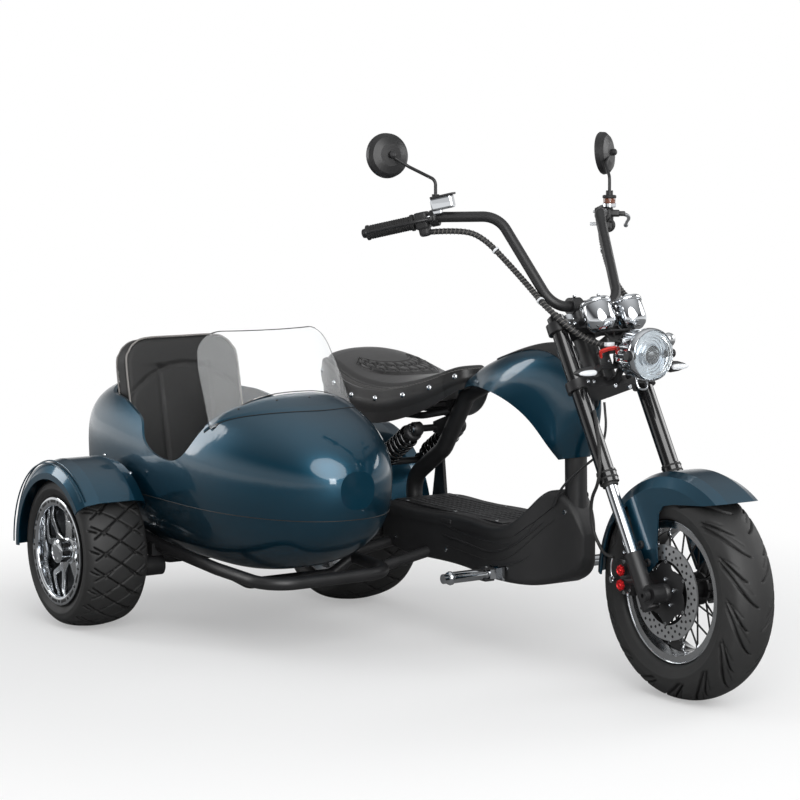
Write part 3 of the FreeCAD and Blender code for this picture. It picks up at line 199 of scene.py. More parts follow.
def finish(name, tones, rough, grain, lift, metallic=0.0, patches=60, grain_kind="NOISE",
           sockets=None, mask=None):
    """A real finish: two close tones in soft patches, a roughness range, and a surface grain in millimetres.

    A mask is either (axle, radius in millimetres, colour), where the finish takes the other colour inside
    that radius about the axle, or the name of an attribute whose value paints shade into it, towards near
    black.
    """
    made = bpy.data.materials.new(name)
    made.use_nodes = True
    tree = made.node_tree
    tree.nodes.clear()
    place = add(tree, "ShaderNodeTexCoord").outputs["Object"]
    cloud = add(tree, "ShaderNodeTexNoise", {"Vector": place, "Scale": per_mm(patches), "Detail": 4.0})
    tone = add(tree, "ShaderNodeMix", {"Factor": cloud.outputs["Fac"], 6: hex_colour(tones[0]),
                                       7: hex_colour(tones[1])}, data_type="RGBA").outputs[2]
    dull = add(tree, "ShaderNodeMapRange", {"Value": cloud.outputs["Fac"], "From Min": 0.3, "From Max": 0.7,
                                            "To Min": rough[0], "To Max": rough[1]})
    if isinstance(mask, str):
        # The attribute's value is painted shade: the tone goes towards near black where it is high.
        depth = add(tree, "ShaderNodeAttribute", attribute_name=mask).outputs["Fac"]
        tone = add(tree, "ShaderNodeMix", {"Factor": depth, 6: tone, 7: hex_colour("#060606")},
                   data_type="RGBA").outputs[2]
    elif mask:
        axle, radius, colour = mask
        away = add(tree, "ShaderNodeVectorMath", {0: place, 1: axle}, operation="SUBTRACT").outputs[0]
        flat = add(tree, "ShaderNodeVectorMath", {0: away, 1: (1, 0, 1)}, operation="MULTIPLY").outputs[0]
        reach = add(tree, "ShaderNodeVectorMath", {0: flat}, operation="LENGTH").outputs["Value"]
        inside = add(tree, "ShaderNodeMapRange", {"Value": reach, "From Min": radius / 1000 - 0.0006,
                                                  "From Max": radius / 1000, "To Min": 1.0, "To Max": 0.0})
        tone = add(tree, "ShaderNodeMix", {"Factor": inside.outputs[0], 6: tone, 7: hex_colour(colour)},
                   data_type="RGBA").outputs[2]
    if grain_kind == "VORONOI":
        texture = add(tree, "ShaderNodeTexVoronoi", {"Vector": place, "Scale": per_mm(grain)},
                      feature="DISTANCE_TO_EDGE")
        height = add(tree, "ShaderNodeMath", {0: texture.outputs["Distance"], 1: 0.12},
                     operation="MINIMUM").outputs[0]
    elif grain_kind == "TURNED":
        away = add(tree, "ShaderNodeVectorMath", {0: place, 1: mask[0]}, operation="SUBTRACT").outputs[0]
        texture = add(tree, "ShaderNodeTexWave", {"Vector": away, "Scale": per_mm(grain) / 6.28,
                                                  "Distortion": 0.6}, wave_type="RINGS", rings_direction="Y")
        height = texture.outputs["Fac"]
    else:
        texture = add(tree, "ShaderNodeTexNoise", {"Vector": place, "Scale": per_mm(grain), "Detail": 3.0})
        height = texture.outputs["Fac"]
    bump = add(tree, "ShaderNodeBump", {"Height": height, "Strength": 0.6, "Distance": lift / 1000})
    shader = add(tree, "ShaderNodeBsdfPrincipled", {
        "Base Color": tone, "Roughness": dull.outputs[0], "Metallic": metallic,
        "Normal": bump.outputs[0], **(sockets or {})})
    add(tree, "ShaderNodeOutputMaterial", {"Surface": shader.outputs[0]})
    return made


# Deep teal metallic lacquer: its flakes brighten where light strikes, and its clear coat mirrors the room.
LACQUER = finish("teal_metallic_lacquer", ("#0B455B", "#093A4D"), (0.36, 0.42), 1.4, 0.006, 0.78, 220,
                 sockets={"Coat Weight": 0.8, "Coat Roughness": 0.08, "Coat IOR": 1.6})
# Powder-coated steel: satin black with a fine orange peel.
POWDER = finish("satin_black_powder_coat", ("#1B1B1C", "#212122"), (0.36, 0.46), 2.2, 0.05, 0.0, 50)
# Gloss black stove enamel on the fork tubes and the shocks' springs: long soft reflections.
ENAMEL = finish("gloss_black_enamel", ("#0E0E0F", "#131314"), (0.10, 0.16), 3.0, 0.006, 0.0, 80,
                sockets={"Coat Weight": 0.6, "Coat Roughness": 0.05})
# Moulded ABS with a spark-eroded grain.
MOULDED = finish("moulded_black_abs", ("#1F1F20", "#262627"), (0.42, 0.54), 1.0, 0.06, 0.0, 45)
# Rotomoulded floor and battery case: coarser leather-like moulding grain, slightly grey.
CASE = finish("grained_black_polypropylene", ("#1C1C1D", "#232324"), (0.42, 0.56), 1.6, 0.09, 0.0, 90)
# The rider's floor mat: ribbed rubber, greyer and duller than the case below it.
MAT = finish("grey_floor_mat_rubber", ("#3A3A3B", "#454546"), (0.60, 0.74), 1.4, 0.08, 0.0, 60)
# Chromium plate: near-mirror, slightly cool, with faint polishing haze.
CHROME = finish("chromium_plate", ("#D9DCDF", "#CFD2D6"), (0.04, 0.09), 6.0, 0.004, 1.0, 40)
# Polished aluminium: whiter and softer than chrome.
ALLOY = finish("polished_aluminium", ("#D2D3D4", "#C2C4C6"), (0.16, 0.27), 2.4, 0.012, 1.0, 30)
# The front rim: polished lips round a black-anodised well that the spokes cross.
RIM_FRONT = finish("polished_rim_black_well", ("#D6D7D8", "#C6C8CA"), (0.14, 0.24), 2.4, 0.01, 1.0, 40,
                   mask=(FRONT_AXLE, 140.5, "#141415"))
# The brake disc: a bright ring, ground in circles, riveted to a black-anodised carrier.
DISC = finish("ground_stainless_disc", ("#C9CACB", "#B8B9BB"), (0.28, 0.36), 0.9, 0.03, 0.9, 25, "TURNED",
              mask=(FRONT_AXLE, 75, "#141414"))
# Bright zinc on screws and axles.
ZINC = finish("bright_zinc_plate", ("#B4B5B6", "#A6A7A9"), (0.26, 0.36), 1.2, 0.015, 1.0, 12)
# Tyre rubber: matt charcoal with a faint bloom, and painted shade down in its grooves.
TYRE = finish("tyre_rubber", ("#1F1F1F", "#282828"), (0.54, 0.68), 1.2, 0.05, 0.0, 70, mask="groove")
# Soft rubber of the grips, the hoses and the seals.
RUBBER = finish("grip_rubber", ("#191919", "#222222"), (0.55, 0.68), 1.0, 0.05, 0.0, 30)
# Waxed saddle leather: pebble grain, with painted shade where a seam or a quilting channel runs.
LEATHER = finish("waxed_black_leather", ("#1F1E1E", "#282727"), (0.30, 0.40), 2.6, 0.12, 0.0, 60, "VORONOI",
                 sockets={"Sheen Weight": 0.15, "Sheen Roughness": 0.5}, mask="groove")
# Matt upholstery vinyl of the passenger seat.
VINYL = finish("matt_black_vinyl", ("#1A1A1A", "#202020"), (0.55, 0.66), 2.2, 0.12, 0.0, 80, "VORONOI")
# Grey polyester thread of the saddle's raised stitches; on the spiral round the control cables the light grey
# is a painted glint.
GREY_THREAD_AND_GLINT = finish("grey_thread_and_painted_glint", ("#575552", "#666461"), (0.6, 0.75), 0.6, 0.05, 0.0, 10)
# Grey piping round the passenger's backrest.
PIPING = finish("grey_vinyl_piping", ("#7E7B78", "#8C8986"), (0.5, 0.6), 1.5, 0.04, 0.0, 30)
# Signal red plastic of the tail lamp.
RED_LENS = finish("red_lens_plastic", ("#8E0A0A", "#A30E0C"), (0.10, 0.16), 3.0, 0.02, 0.0, 20,
                  sockets={"Coat Weight": 0.7})
# Red anodised aluminium of the caliper's caps and the stop button: saturated, with a metal glint.
RED_CAP = finish("red_anodised_aluminium", ("#C4171C", "#D8262A"), (0.22, 0.32), 1.0, 0.02, 0.55, 8)
# Red insulation of the lamp's feed wires.
RED_WIRE = finish("red_pvc_insulation", ("#B3231C", "#C22E25"), (0.4, 0.5), 1.2, 0.02, 0.0, 12)
# Clear acrylic of the sidecar's screen: hardly tinted.
SCREEN = finish("clear_acrylic_sheet", ("#FFFFFF", "#FAFCFD"), (0.0, 0.02), 40.0, 0.004, 0.0, 200,
                sockets={"Transmission Weight": 0.9, "IOR": 1.1})
# Clear lamp glass.
LAMP_GLASS = finish("clear_lamp_glass", ("#F4F8FA", "#EEF3F6"), (0.0, 0.03), 8.0, 0.02, 0.0, 40,
                    sockets={"Transmission Weight": 0.95, "IOR": 1.3})
# Milky white plastic of the indicator lenses, the buttons, the dials' marks and the cable ties.
FROSTED = finish("frosted_white_lens", ("#E4E6E8", "#D2D6DA"), (0.18, 0.28), 1.6, 0.08, 0.0, 10)
# Smoked glass of the lamp's bulb and of the dials.
DARK_GLASS = finish("smoked_bulb_glass", ("#0B0B0C", "#18191B"), (0.03, 0.08), 4.0, 0.01, 0.0, 20,
                    sockets={"Coat Weight": 1.0, "Coat Roughness": 0.02})
# Amber brake fluid behind the reservoir's window.
FLUID = finish("amber_reservoir_window", ("#5A2C14", "#713A1B"), (0.08, 0.14), 3.0, 0.01, 0.0, 12,
               sockets={"Coat Weight": 0.8})
# Silvered mirror glass.
SILVERED = finish("silvered_mirror_glass", ("#C8CCD0", "#BFC4C8"), (0.01, 0.03), 9.0, 0.002, 1.0, 60)

NODE_FINISHES = {
    LACQUER: ["tank_cover", "sidecar_shell", "sidecar_tub", "front_mudguard", "rear_mudguard",
              "sidecar_mudguard"],
    POWDER: ["main_frame", "saddle_bracket", "swingarm", "rear_guard_stays", "sidecar_frame",
             "sidecar_struts", "sidecar_arm", "fork_feet", "lower_clamp", "upper_clamp", "handlebar",
             "bar_risers", "lamp_bracket", "gauge_bracket", "front_hub", "front_caliper", "shocks",
             "front_axle", "mirrors"],
    ENAMEL: ["fork_tubes"],
    MOULDED: ["switch_blocks", "sidecar_seat_box", "indicators", "tank_pad", "wiring_lead"],
    CASE: ["battery_box"],
    CHROME: ["foot_pegs", "fork_sliders", "headlamp", "gauges"],
    ALLOY: ["rear_rim", "sidecar_rim", "brake_levers"],
    RIM_FRONT: ["front_rim"],
    DISC: ["front_disc"],
    ZINC: ["rear_axle", "sidecar_axle"],
    TYRE: ["front_tyre", "rear_tyre", "sidecar_tyre"],
    RUBBER: ["grips", "control_harness", "brake_hose"],
    LEATHER: ["saddle"],
    VINYL: ["sidecar_cushion", "sidecar_backrest"],
    SCREEN: ["sidecar_screen"],
    LAMP_GLASS: ["headlamp_lens"],
    RED_LENS: ["tail_lamp"],
}


def dress_nodes():
    """Gives each CAD node that shows its own finish."""
    for material, names in NODE_FINISHES.items():
        for name in names:
            cad[name].data.materials.clear()
            cad[name].data.materials.append(material)


# Shapes are (points in metres, faces) pairs, and one piece may join several.

def grid_faces(rows, columns, around=True, closed=False):
    """Quads over a grid of points; around joins each row's ends, closed joins the last row to the first."""
    down = np.arange(rows if closed else rows - 1)
    along = np.arange(columns if around else columns - 1)
    row, column = np.meshgrid(down, along, indexing="ij")
    below, beside = (row + 1) % rows, (column + 1) % columns
    corners = ((row, column), (row, beside), (below, beside), (below, column))
    return np.stack([line * columns + place for line, place in corners], -1).reshape(-1, 4).tolist()


def merged(shapes):
    """Several shapes as one."""
    points, faces, start = [], [], 0
    for cloud, loops in shapes:
        cloud = np.asarray(cloud, dtype=float).reshape(-1, 3)
        points.append(cloud)
        faces += [[corner + start for corner in loop] for loop in loops]
        start += len(cloud)
    return np.concatenate(points), faces


def frame_about(along):
    """Two unit vectors square to a direction."""
    along = Vector(along).normalized()
    aside = along.cross(HIGH if abs(along.z) < 0.9 else FORWARD).normalized()
    return np.array(aside), np.array(aside.cross(along))


def lathe(profile, start, along, steps=48, lobes=0, dip=0.0):
    """Turns (radius, run) pairs in millimetres about a line; a third value of 1 gives that ring its lobes."""
    aside, upright = frame_about(along)
    along = np.array(Vector(along).normalized())
    turn = np.linspace(0, 2 * math.pi, steps, endpoint=False)
    rings = []
    for radius, run, *wavy in profile:
        reach = np.full(steps, radius / 1000)
        if wavy and wavy[0]:
            reach = reach * (1 - dip * (0.5 - 0.5 * np.cos(lobes * turn)))
        ring = np.outer(np.cos(turn) * reach, aside) + np.outer(np.sin(turn) * reach, upright)
        rings.append(np.array(start) + along * run / 1000 + ring)
    faces = grid_faces(len(profile), steps)
    faces.append(list(range(steps)))
    faces.append(list(range((len(profile) - 1) * steps, len(profile) * steps)))
    return np.concatenate(rings), faces


def ring_lathe(profile, start, along, steps=64, lobes=0, dip=0.0):
    """The same for a closed outline that doesn't reach the axis."""
    points, faces = lathe(profile, start, along, steps, lobes, dip)
    faces = faces[:-2] + [[(len(profile) - 1) * steps + a, (len(profile) - 1) * steps + (a + 1) % steps,
                           (a + 1) % steps, a] for a in range(steps)]
    return points, faces


def smooth_line(points, step=4.0, closed=False):
    """A smooth curve through points, cut into short steps of about so many millimetres."""
    points = np.array([tuple(point) for point in points], dtype=float)
    if closed:
        points = np.vstack([points[-1:], points, points[:2]])
    else:
        points = np.vstack([2 * points[0] - points[1], points, 2 * points[-1] - points[-2]])
    line = []
    for before, start, end, after in zip(points, points[1:], points[2:], points[3:]):
        count = max(2, int(np.linalg.norm(end - start) * 1000 / step))
        share = np.linspace(0, 1, count, endpoint=False)[:, None]
        square = 2 * before - 5 * start + 4 * end - after
        cube = 3 * start - before - 3 * end + after
        line.append(0.5 * (2 * start + (end - before) * share + square * share ** 2 + cube * share ** 3))
    if not closed:
        line.append(points[-2:-1])
    return np.concatenate(line)


def sweep(line, radius, sides=14, flat=1.0, upright=None, closed=False):
    """A round or flattened bar along a line; the radius, in millimetres, may change along it."""
    line = np.asarray(line, dtype=float)
    if closed:
        tangent = np.roll(line, -1, 0) - np.roll(line, 1, 0)
    else:
        tangent = np.gradient(line, axis=0)
    tangent /= np.linalg.norm(tangent, axis=1)[:, None]
    normal = np.array(upright if upright is not None else frame_about(tangent[0])[0], dtype=float)
    radii = np.broadcast_to(np.asarray(radius, dtype=float), (len(line),)) / 1000
    turn = np.linspace(0, 2 * math.pi, sides, endpoint=False)
    rings = []
    for place, ahead, reach in zip(line, tangent, radii):
        normal = normal - ahead * normal.dot(ahead)
        normal /= np.linalg.norm(normal)
        other = np.cross(ahead, normal)
        ring = np.outer(np.cos(turn) * reach * flat, normal) + np.outer(np.sin(turn) * reach, other)
        rings.append(place + ring)
    faces = grid_faces(len(line), sides, True, closed)
    if not closed:
        faces.append(list(range(sides)))
        faces.append(list(range((len(line) - 1) * sides, len(line) * sides)))
    return np.concatenate(rings), faces


def rounded_box(centre, spread, edge=3.0, axes=(FORWARD, ACROSS, HIGH), segments=3):
    """A box with rounded edges; the sizes are in millimetres along its own three axes."""
    form = bmesh.new()
    bmesh.ops.create_cube(form, size=1.0)
    for vert in form.verts:
        vert.co = Vector([vert.co[axis] * spread[axis] / 1000 for axis in range(3)])
    bmesh.ops.bevel(form, geom=list(form.edges), offset=edge / 1000, segments=segments, profile=0.6,
                    affect="EDGES")
    form.verts.index_update()
    turn = Matrix([tuple(Vector(axis).normalized()) for axis in axes]).transposed()
    points = [tuple(Vector(centre) + turn @ vert.co) for vert in form.verts]
    faces = [[vert.index for vert in face.verts] for face in form.faces]
    form.free()
    return np.array(points), faces


def plate(outline, facing, thick):
    """A flat plate: its outline's points, the way it faces, and its thickness in millimetres."""
    outline = np.array([tuple(point) for point in outline])
    count = len(outline)
    back = outline - np.array(Vector(facing).normalized()) * thick / 1000
    faces = [list(range(count)), list(range(count, 2 * count))]
    faces += [[a, (a + 1) % count, count + (a + 1) % count, count + a] for a in range(count)]
    return np.vstack([outline, back]), faces


def keep(obj, body, slot, *materials):
    """Gives a finished piece its materials and its body; the slot is not used."""
    for material in materials:
        obj.data.materials.append(material)
    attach(obj, body)
    return obj


def piece(name, shape, body, slot, material, angle=38):
    """A mesh piece: its seams are merged, its faces point outwards, and its sharp edges stay sharp."""
    points, faces = shape
    mesh = bpy.data.meshes.new(name)
    mesh.from_pydata(np.asarray(points).tolist(), [], faces)
    form = bmesh.new()
    form.from_mesh(mesh)
    bmesh.ops.remove_doubles(form, verts=form.verts, dist=2e-5)
    bmesh.ops.recalc_face_normals(form, faces=form.faces)
    form.to_mesh(mesh)
    form.free()
    mesh.shade_smooth()
    mesh.set_sharp_from_angle(angle=math.radians(angle))
    return keep(linked(name, mesh), body, slot, material)


def evaluated(obj):
    """A plain mesh of what an object's modifiers make, or of a curve."""
    bpy.context.view_layer.update()
    return bpy.data.meshes.new_from_object(obj.evaluated_get(bpy.context.evaluated_depsgraph_get()))


def opened_tree(name, sizes):
    """A node group that takes geometry and named sizes, and the sockets that it reads them from."""
    tree = bpy.data.node_groups.new(name, "GeometryNodeTree")
    tree.interface.new_socket(name="Geometry", in_out="INPUT", socket_type="NodeSocketGeometry")
    for label, value in sizes.items():
        socket = tree.interface.new_socket(name=label, in_out="INPUT", socket_type="NodeSocketFloat")
        socket.default_value = value
    tree.interface.new_socket(name="Geometry", in_out="OUTPUT", socket_type="NodeSocketGeometry")
    return tree, add(tree, "NodeGroupInput").outputs


def closed_tree(tree, geometry, material):
    """The same group, handing out the geometry as real faces of one material."""
    real = add(tree, "GeometryNodeRealizeInstances", {"Geometry": geometry})
    coated = add(tree, "GeometryNodeSetMaterial", {"Geometry": real.outputs[0], "Material": material})
    add(tree, "NodeGroupOutput", {"Geometry": coated.outputs[0]})
    return tree


def grown(name, wire, tree, sizes, body, slot, angle=None):
    """Runs a node tree over a wire mesh and keeps what it makes as one plain mesh piece."""
    carrier = linked(name + "_wire", wire)
    maker = carrier.modifiers.new("maker", "NODES")
    maker.node_group = tree
    sockets = {item.name: item.identifier for item in tree.interface.items_tree if item.in_out == "INPUT"}
    for label, value in sizes.items():
        maker[sockets[label]] = value
    mesh = evaluated(carrier)
    carrier.modifiers.clear()
    bpy.data.objects.remove(carrier)
    mesh.shade_smooth()
    if angle:
        mesh.set_sharp_from_angle(angle=math.radians(angle))
    return keep(linked(name, mesh), body, slot)


def wire_mesh(name, points, edges=()):
    """Points, and the edges between them, as a mesh that a node tree can read."""
    wire = bpy.data.meshes.new(name + "_wire")
    wire.from_pydata([tuple(point) for point in points], list(edges), [])
    return wire


def socket_screw_tree(material):
    """Round-headed socket screws on points that carry the way they face and their radius."""
    tree, given = opened_tree("socket_screws_" + material.name,
                              {"Head height": 0.9, "Socket width": 0.55, "Socket depth": 0.5})
    head = add(tree, "GeometryNodeMeshCylinder", {"Vertices": 14, "Radius": 1.0,
                                                  "Depth": given["Head height"]}, fill_type="NGON")
    rim = add(tree, "GeometryNodeExtrudeMesh", {"Mesh": head.outputs["Mesh"],
                                                "Selection": head.outputs["Top"], "Offset Scale": 0.12},
              mode="FACES")
    chamfer = add(tree, "GeometryNodeScaleElements", {"Geometry": rim.outputs["Mesh"],
                                                      "Selection": rim.outputs["Top"], "Scale": 0.86})
    inner = add(tree, "GeometryNodeExtrudeMesh", {"Mesh": chamfer.outputs[0], "Selection": rim.outputs["Top"],
                                                  "Offset Scale": 0.0}, mode="FACES")
    narrow = add(tree, "GeometryNodeScaleElements", {"Geometry": inner.outputs["Mesh"],
                                                     "Selection": inner.outputs["Top"],
                                                     "Scale": given["Socket width"]})
    sunk = add(tree, "ShaderNodeMath", {0: given["Socket depth"], 1: -1.0}, operation="MULTIPLY")
    socket = add(tree, "GeometryNodeExtrudeMesh", {"Mesh": narrow.outputs[0],
                                                   "Selection": inner.outputs["Top"],
                                                   "Offset Scale": sunk.outputs[0]}, mode="FACES")
    facing = add(tree, "GeometryNodeInputNamedAttribute", {"Name": "facing"}, data_type="FLOAT_VECTOR")
    radius = add(tree, "GeometryNodeInputNamedAttribute", {"Name": "radius"}, data_type="FLOAT")
    turn = add(tree, "FunctionNodeAlignRotationToVector", {"Vector": facing.outputs["Attribute"]}, axis="Z")
    spread = add(tree, "GeometryNodeInstanceOnPoints", {
        "Points": given["Geometry"], "Instance": socket.outputs["Mesh"], "Rotation": turn.outputs[0],
        "Scale": radius.outputs["Attribute"]})
    return closed_tree(tree, spread.outputs[0], material)


def screws(name, spots, body, slot, material, height=0.9):
    """Socket screws at (point, facing, radius in millimetres) spots, as one plain mesh."""
    wire = wire_mesh(name, [place for place, _, _ in spots])
    facing = wire.attributes.new("facing", "FLOAT_VECTOR", "POINT")
    ways = [tuple(Vector(way).normalized()) for _, way, _ in spots]
    facing.data.foreach_set("vector", np.array(ways).ravel())
    radius = wire.attributes.new("radius", "FLOAT", "POINT")
    radius.data.foreach_set("value", [reach / 1000 for _, _, reach in spots])
    return grown(name, wire, socket_screw_tree(material), {"Head height": height}, body, slot, 30)


# The wheels.

def soft_step(low, high, value):
    """0 below the low value, 1 above the high one and an even S between them."""
    share = np.clip((value - low) / (high - low), 0, 1)
    return share * share * (3 - 2 * share)


def groove(around, across, period, start, swing, near, far, wide_near, wide_far, bend=1.0):
    """How deep one repeated tread groove is, 0 to 1, at distances round and across the tyre in millimetres.

    It runs from near to far across the tyre, moves on by the swing meanwhile, and changes its width.
    """
    share = np.clip((across - near) / (far - near), 0, 1)
    centre = start + swing * share ** bend
    slope = swing * bend * np.maximum(share, 0.02) ** (bend - 1) / (far - near)
    gap = (around - centre + period / 2) % period - period / 2
    distance = np.abs(gap) / np.sqrt(1 + slope ** 2)
    width = wide_near + (wide_far - wide_near) * share
    ends = soft_step(near - 1.5, near + 1.5, across) * (1 - soft_step(far - 1.5, far + 1.5, across))
    return (1 - soft_step(width / 2 - 0.9, width / 2 + 0.9, distance)) * ends


def road_tread(around, across, length):
    """Long curved grooves that meet in a V at the crown, shorter ones between them and fine sipes."""
    grooves = ((1.0, 0.0, 118, 7, 88, 3.2, 8.0, 1.5), (1.0, 0.52, 74, 30, 84, 2.6, 6.0, 1.3),
               (0.6, 0.26, 42, 18, 52, 1.6, 1.6, 1.0), (0.6, 0.8, 36, 44, 74, 1.6, 1.6, 1.0))
    period = length / 14
    depth = np.zeros_like(around)
    for side in (-1, 1):
        shift = around + (period / 2 if side > 0 else 0)
        for strength, start, *form in grooves:
            depth = np.maximum(depth, strength * groove(shift, across * side, period, period * start, *form))
    return depth


def lattice_tread(around, across, length):
    """Thin diagonal grooves that cross, with short dashes between them towards the shoulders."""
    grooves = ((0.0, 96, -70, 74, 3.4, 3.4), (0.5, -20, 22, 44, 3.0, 3.0), (0.3, 10, 60, 84, 3.6, 4.6))
    period = length / 22
    depth = np.zeros_like(around)
    for side in (-1, 1):
        for start, *form in grooves:
            depth = np.maximum(depth, groove(around, across * side, period, period * start, *form))
    return depth


def tyre_piece(node, axle, radius, width, rim_radius, rim_width, steps, rows, tread, body):
    """A tyre with its tread cut in, from a rounded section that runs from bead to bead."""
    tread_depth, bead_drop, bead_inset = 5.5, 12.7, 8.5
    half, wall = width / 2, radius - rim_radius
    bead, seat = rim_radius - bead_drop, rim_width / 2 - bead_inset
    section = [(bead, seat), (rim_radius + 1.5, seat), (rim_radius + 5, half - 8),
               (rim_radius + wall * 0.3, half - 0.5), (rim_radius + wall * 0.45, half),
               (rim_radius + wall * 0.62, half - 2.5), (rim_radius + wall * 0.8, half * 0.83),
               (radius - wall * 0.08, half * 0.56), (radius - wall * 0.015, half * 0.24), (radius, 0)]
    section += [(reach, -out) for reach, out in section[-2::-1]]
    line = smooth_line([(reach / 1000, out / 1000, 0) for reach, out in section], 1.0)[:, :2] * 1000
    length = np.concatenate([[0], np.cumsum(np.linalg.norm(np.diff(line, axis=0), axis=1))])
    even = np.linspace(0, length[-1], rows)
    reach, out = np.interp(even, length, line[:, 0]), np.interp(even, length, line[:, 1])
    across = even[-1] / 2 - even
    slope = np.stack([np.gradient(reach), np.gradient(out)], -1)
    slope /= np.linalg.norm(slope, axis=1)[:, None]
    outward = np.stack([-slope[:, 1], slope[:, 0]], -1)
    turn = np.linspace(0, 2 * math.pi, steps, endpoint=False)
    grid_across, grid_turn = np.meshgrid(across, turn, indexing="ij")
    depth = tread(grid_turn * radius, grid_across, 2 * math.pi * radius)
    depth *= 1 - soft_step(even[-1] * 0.33, even[-1] * 0.37, np.abs(grid_across))
    ribs = 0.9 * np.exp(-((reach - rim_radius - wall * 0.36) / 1.6) ** 2)
    ribs += 0.7 * np.exp(-((reach - rim_radius - wall * 0.12) / 1.6) ** 2)
    lift = ribs[:, None] - depth * tread_depth
    full = reach[:, None] + outward[:, 0:1] * lift
    aside = out[:, None] + outward[:, 1:2] * lift
    points = np.stack([axle.x + np.cos(grid_turn) * full / 1000, axle.y + aside / 1000,
                       axle.z + np.sin(grid_turn) * full / 1000], -1).reshape(-1, 3)
    obj = piece(node + "_tread", (points, grid_faces(rows, steps, True, True)), body, "tyre", TYRE, 60)
    # The grooves' depth is also kept as painted shade, which darkens the rubber down in the grooves.
    shade = obj.data.attributes.new("groove", "FLOAT", "POINT")
    shade.data.foreach_set("value", depth.ravel())
    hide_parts(node)


def on_wheel(axle, radius, degrees, out):
    """A point on a wheel by its radius, its angle from straight ahead and how far left of the middle."""
    swing = math.radians(degrees)
    return axle + Vector((math.cos(swing) * radius, out, math.sin(swing) * radius)) / 1000


def wheel_arc(axle, radius, out, turn):
    """Points on a circle about an axle, at these angles in radians."""
    spots = np.stack([np.cos(turn) * radius, np.full(len(turn), out), np.sin(turn) * radius], -1)
    return np.array(axle) + spots / 1000


def radial_box(axle, radius, degrees, out, spread, edge):
    """A rounded box on a wheel: its sizes run outwards, round the wheel and across it."""
    centre = on_wheel(axle, radius, degrees, out)
    way = (centre - on_wheel(axle, 0, 0, out)).normalized()
    return rounded_box(centre, spread, edge, (way, ACROSS.cross(way), ACROSS))


def front_wheel_detail():
    """The tyre, spoke nipples, the disc's carrier, rivets and bolts, the hub's collar and the rim's lips."""
    disc_out, spoke_count = -64.4, 32
    tyre_piece("front_tyre", FRONT_AXLE, FRONT_RADIUS, 130, 165, 94, 720, 110, road_tread, "front_wheel")
    nipples = []
    for index in range(spoke_count):
        degrees = 360 * index / spoke_count
        out = 10 if index % 2 else -10
        inner = on_wheel(FRONT_AXLE, 128, degrees, out)
        outer = on_wheel(FRONT_AXLE, 139.3, degrees, out)
        nipples.append(lathe([(2.9, 0), (3.6, 1), (3.6, 7), (5.2, 8), (5.2, 11)], inner, outer - inner, 10))
    piece("spoke_nipples", merged(nipples), "front_wheel", "alloy", CHROME)
    rivets = [(on_wheel(FRONT_AXLE, 71.5, 30 + 60 * index, disc_out), -ACROSS, 4.2) for index in range(6)]
    screws("disc_rivets", rivets, "front_wheel", "steel", ZINC, 0.5)
    star = []
    for index in range(12):
        star.append(on_wheel(FRONT_AXLE, 61 if index % 2 else 79, 30 + 30 * index, disc_out - 0.6))
        star.append(on_wheel(FRONT_AXLE, 58 if index % 2 else 74, 37 + 30 * index, disc_out - 0.6))
    piece("disc_carrier_star", plate(star, -ACROSS, 2.4), "front_wheel", "black_paint", POWDER)
    # Dark discs where the brake disc is drilled: painted shade standing for its holes.
    holes = []
    for row, reach in enumerate((101, 91, 81)):
        for index in range(24):
            degrees = 15 * index + 7.5 * (row % 2)
            holes.append((on_wheel(FRONT_AXLE, reach, degrees, disc_out + 0.45), -ACROSS, 3.5))
    screws("disc_hole_shades", holes, "front_wheel", "black_plastic", MOULDED, 0.3)
    bolts = [(on_wheel(FRONT_AXLE, 31, 90 + 72 * index, disc_out - 1), -ACROSS, 5.2) for index in range(5)]
    screws("disc_bolts", bolts, "front_wheel", "steel", CHROME)
    start = FRONT_AXLE + ACROSS * disc_out / 1000
    cap = lathe([(21, 0), (22, -1), (22, 8), (19, 12), (12.5, 12)], start, -ACROSS, 40)
    collar = lathe([(12, 10), (12.6, 12), (12.6, 26), (11.5, 28), (8.8, 28)], start, -ACROSS, 30)
    piece("hub_collar", merged([cap, collar]), "front_wheel", "black_paint", POWDER)
    turn = np.linspace(0, 2 * math.pi, 160, endpoint=False)
    lips = []
    for side in (-1, 1):
        for reach, out, thick in ((163.6, 47.0, 2.4), (153.5, 44.8, 1.6)):
            lips.append(sweep(wheel_arc(FRONT_AXLE, reach, side * out, turn), thick, 10, closed=True))
    piece("rim_lips", merged(lips), "front_wheel", "alloy", CHROME)


def wide_tyres():
    """The sidecar's and the rear tyre share one tread."""
    tyre_piece("sidecar_tyre", SIDE_AXLE, SIDE_RADIUS, 176, 141, 172, 600, 120, lattice_tread,
               "sidecar_wheel")
    tyre_piece("rear_tyre", REAR_AXLE, REAR_RADIUS, 205, 165, 168, 480, 90, lattice_tread, "rear_wheel")


